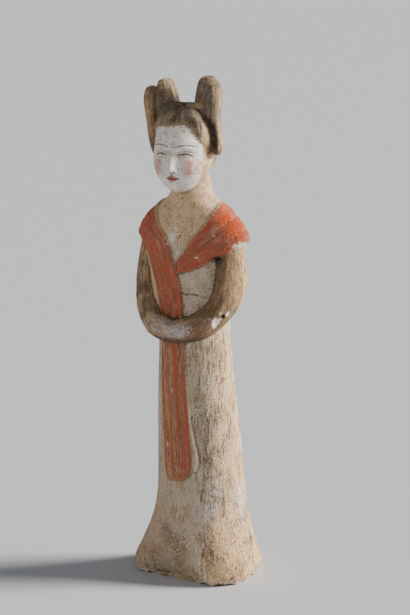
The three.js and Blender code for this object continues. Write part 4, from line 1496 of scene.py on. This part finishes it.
def pottery():
    """The painted clay: each part's own coat, then the marks, dirt, painted shade in hollows and creases,
    dents and chips.
    """
    material = bpy.data.materials.new("painted_pottery")
    g = Graph(material)
    level = g.number("level")
    fine = g.noise(1.4, 4, 61)
    grain = g.noise(0.7, 3, 62)
    mottle = g.noise(2.5, 3, 63)
    coat = slip(g)
    torso(g, coat, level)
    sleeve(g, coat, level)
    face(g, coat)
    scarf(g, coat, level)
    hair(g, coat)
    # The dark marks lay painted shade and darken pits and cracks; brown, pale and red are stains, wear and
    # paint
    for name, tint, most, start, end in (
        ("brown", EARTH, 0.75, 0.1, 1.5),
        ("dark", DEEP_SHADE, 0.8, 0.35, 1),
        ("pale", WHITE, 0.8, 0.35, 1),
        ("red", BROWN_RED, 0.8, 0.3, 0.9),
    ):
        mark = g.number(f"mark_{name}")
        spotty = mark + mottle * 0.2 + fine * 0.3 + grain * 0.3
        coat.lay(tint, mark.rise(0.02, 0.3) * most, spotty, start, end)
    specks = g.noise(1.2, 0, 64) * 0.9 + grain * 0.15 + g.number("mark_specks") * 0.5
    coat.lay(DARK_EARTH, 0.8, specks, 0.95, 1.2)
    # Painted shadow beside the spare end's edge
    coat.lay(DARK_EARTH, 0.55, g.number("beside") + fine * 0.25 + mottle * 0.2, 0.2, 1.1)
    coat.lay(CREAM, 0.9, g.number("spare") + fine * 0.2 + mottle * 0.15, 0.2, 0.7)

    # Painted shade in hollows: brown in the small ones, with their dirt, and near-black in broad creases,
    # weaker under the light hair marks and near the ground
    hollow = g.number("hollow") * HOLLOW_GAIN
    coat.lay(EARTH, 0.5, hollow + fine * 0.3 + mottle * 0.2, 0.25, 1.2)
    crease_shade = (0.65 - g.number("mark_light").rise(0.2, 0.8) * 0.55) * (level.rise(-0.99, -0.93) * 0.8 + 0.2)
    coat.lay(DEEP_SHADE, crease_shade, g.number("broad_hollow") * 1.2 + mottle * 0.15, 0.2, 1.1)
    bare = g.number("scarf").fall(-0.5, 0.5) * g.number("hair").fall(-1, 1) * (1 - g.number("sleeve") * 0.6)
    coat.lay(CREAM, bare * 0.3 + 0.12, fine * 0.4 + mottle * 0.2 - hollow, 0.5, 1.4)
    coat.lay(EARTH, 0.35 - g.number("face") * 0.25, grain, 0.4, 1.3)
    coat.lay(WHITE, bare * 0.35, grain, -0.4, -1.3)
    above_ground = level * SKIRT_HEIGHT - fine * 1.5 - mottle * 1.2
    coat.lay(CREAM, 0.75, above_ground, 5.5 - SKIRT_HEIGHT, 1.5 - SKIRT_HEIGHT)
    chip = Coat(g, WHITE)
    chip.lay(COOL_CREAM, 0.6, grain, 0.2, 1.2)
    coat.lay(chip.colour, 0.95, g.number("mark_chip") + fine * 0.15 + mottle * 0.1, 0.5, 0.65)
    coat.lay(DEEP_SHADE, 0.9, g.number("mark_hole") + fine * 0.15, 0.4, 0.8)

    height = grain * 0.8 + fine + mottle * 0.6
    bump = g.node("Bump", {"Strength": 0.6, "Distance": BUMP_DEPTH * MM, "Height": height})
    g.put(g.shader, {
        "Base Color": coat.colour,
        "Roughness": fine * 0.04 + 0.86,
        "Specular IOR Level": 0.12,
        "Normal": bump.outputs["Normal"],
    })
    return material


def floor_paint():
    material = bpy.data.materials.new("floor")
    material.use_nodes = True
    shader = material.node_tree.nodes["Principled BSDF"]
    shader.inputs["Base Color"].default_value = FLOOR_GREY
    shader.inputs["Roughness"].default_value = 0.8
    return material


# The stage

# The photograph's view: the camera looks at a point on the figure from this far and this side
PHOTO_WIDTH = 410
PHOTO_HEIGHT = 615
VIEW_AZIMUTH = 30
VIEW_ELEVATION = 12
VIEW_DISTANCE = 1700
VIEW_TARGET = (-3, 0, 190)
TARGET_PIXEL = (195.5, 327.0)
PIXELS_PER_MM = 1.334
FLOOR_REACH = 40  # metres


def toward(azimuth, elevation):
    a, e = math.radians(azimuth), math.radians(elevation)
    return Vector((math.sin(a) * math.cos(e), -math.cos(a) * math.cos(e), math.sin(e)))


def aim(thing, back):
    """Turns a camera or light so that it looks away from a direction."""
    thing.rotation_euler = (-back).to_track_quat("-Z", "Y").to_euler()


def make_camera():
    camera = linked("camera", bpy.data.cameras.new("camera"))
    back = toward(VIEW_AZIMUTH, VIEW_ELEVATION)
    camera.location = (Vector(VIEW_TARGET) + back * VIEW_DISTANCE) * MM
    aim(camera, back)
    lens = camera.data
    lens.lens = PIXELS_PER_MM * VIEW_DISTANCE * lens.sensor_width / PHOTO_HEIGHT
    lens.shift_x = (PHOTO_WIDTH / 2 - TARGET_PIXEL[0]) / PHOTO_HEIGHT
    lens.shift_y = (TARGET_PIXEL[1] - PHOTO_HEIGHT / 2) / PHOTO_HEIGHT
    lens.clip_start, lens.clip_end = 0.05, 200
    bpy.context.scene.camera = camera


def sun(name, azimuth, elevation, softness, strength, colour=(1, 1, 1)):
    """A light from far off, as soft as a lamp that spans an angle of this many degrees."""
    light = linked(name, bpy.data.lights.new(name, "SUN"))
    aim(light, toward(azimuth, elevation))
    light.data.angle = math.radians(softness)
    light.data.energy = strength
    light.data.color = colour


def make_stage():
    corners = np.array([(-1, -1, 0), (1, -1, 0), (1, 1, 0), (-1, 1, 0)]) * FLOOR_REACH
    floor = mesh_object("floor", corners, np.array([(0, 1, 2, 3)]))
    floor.data.materials.append(floor_paint())
    sun("key", VIEW_AZIMUTH + 94, 27, 20, 8.2, (1, 0.965, 0.91))
    sun("fill", VIEW_AZIMUTH - 80, 20, 60, 0.4, (1, 0.98, 0.96))
    sun("front", VIEW_AZIMUTH - 5, 40, 50, 0.14)
    world = bpy.data.worlds.new("studio")
    world.use_nodes = True
    background = world.node_tree.nodes["Background"]
    background.inputs["Color"].default_value = (0.92, 0.96, 1, 1)
    background.inputs["Strength"].default_value = 0.2
    bpy.context.scene.world = world


attendant = make_attendant()
attendant.data.materials.append(pottery())
make_camera()
make_stage()

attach(attendant, "root")
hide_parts(NODE)
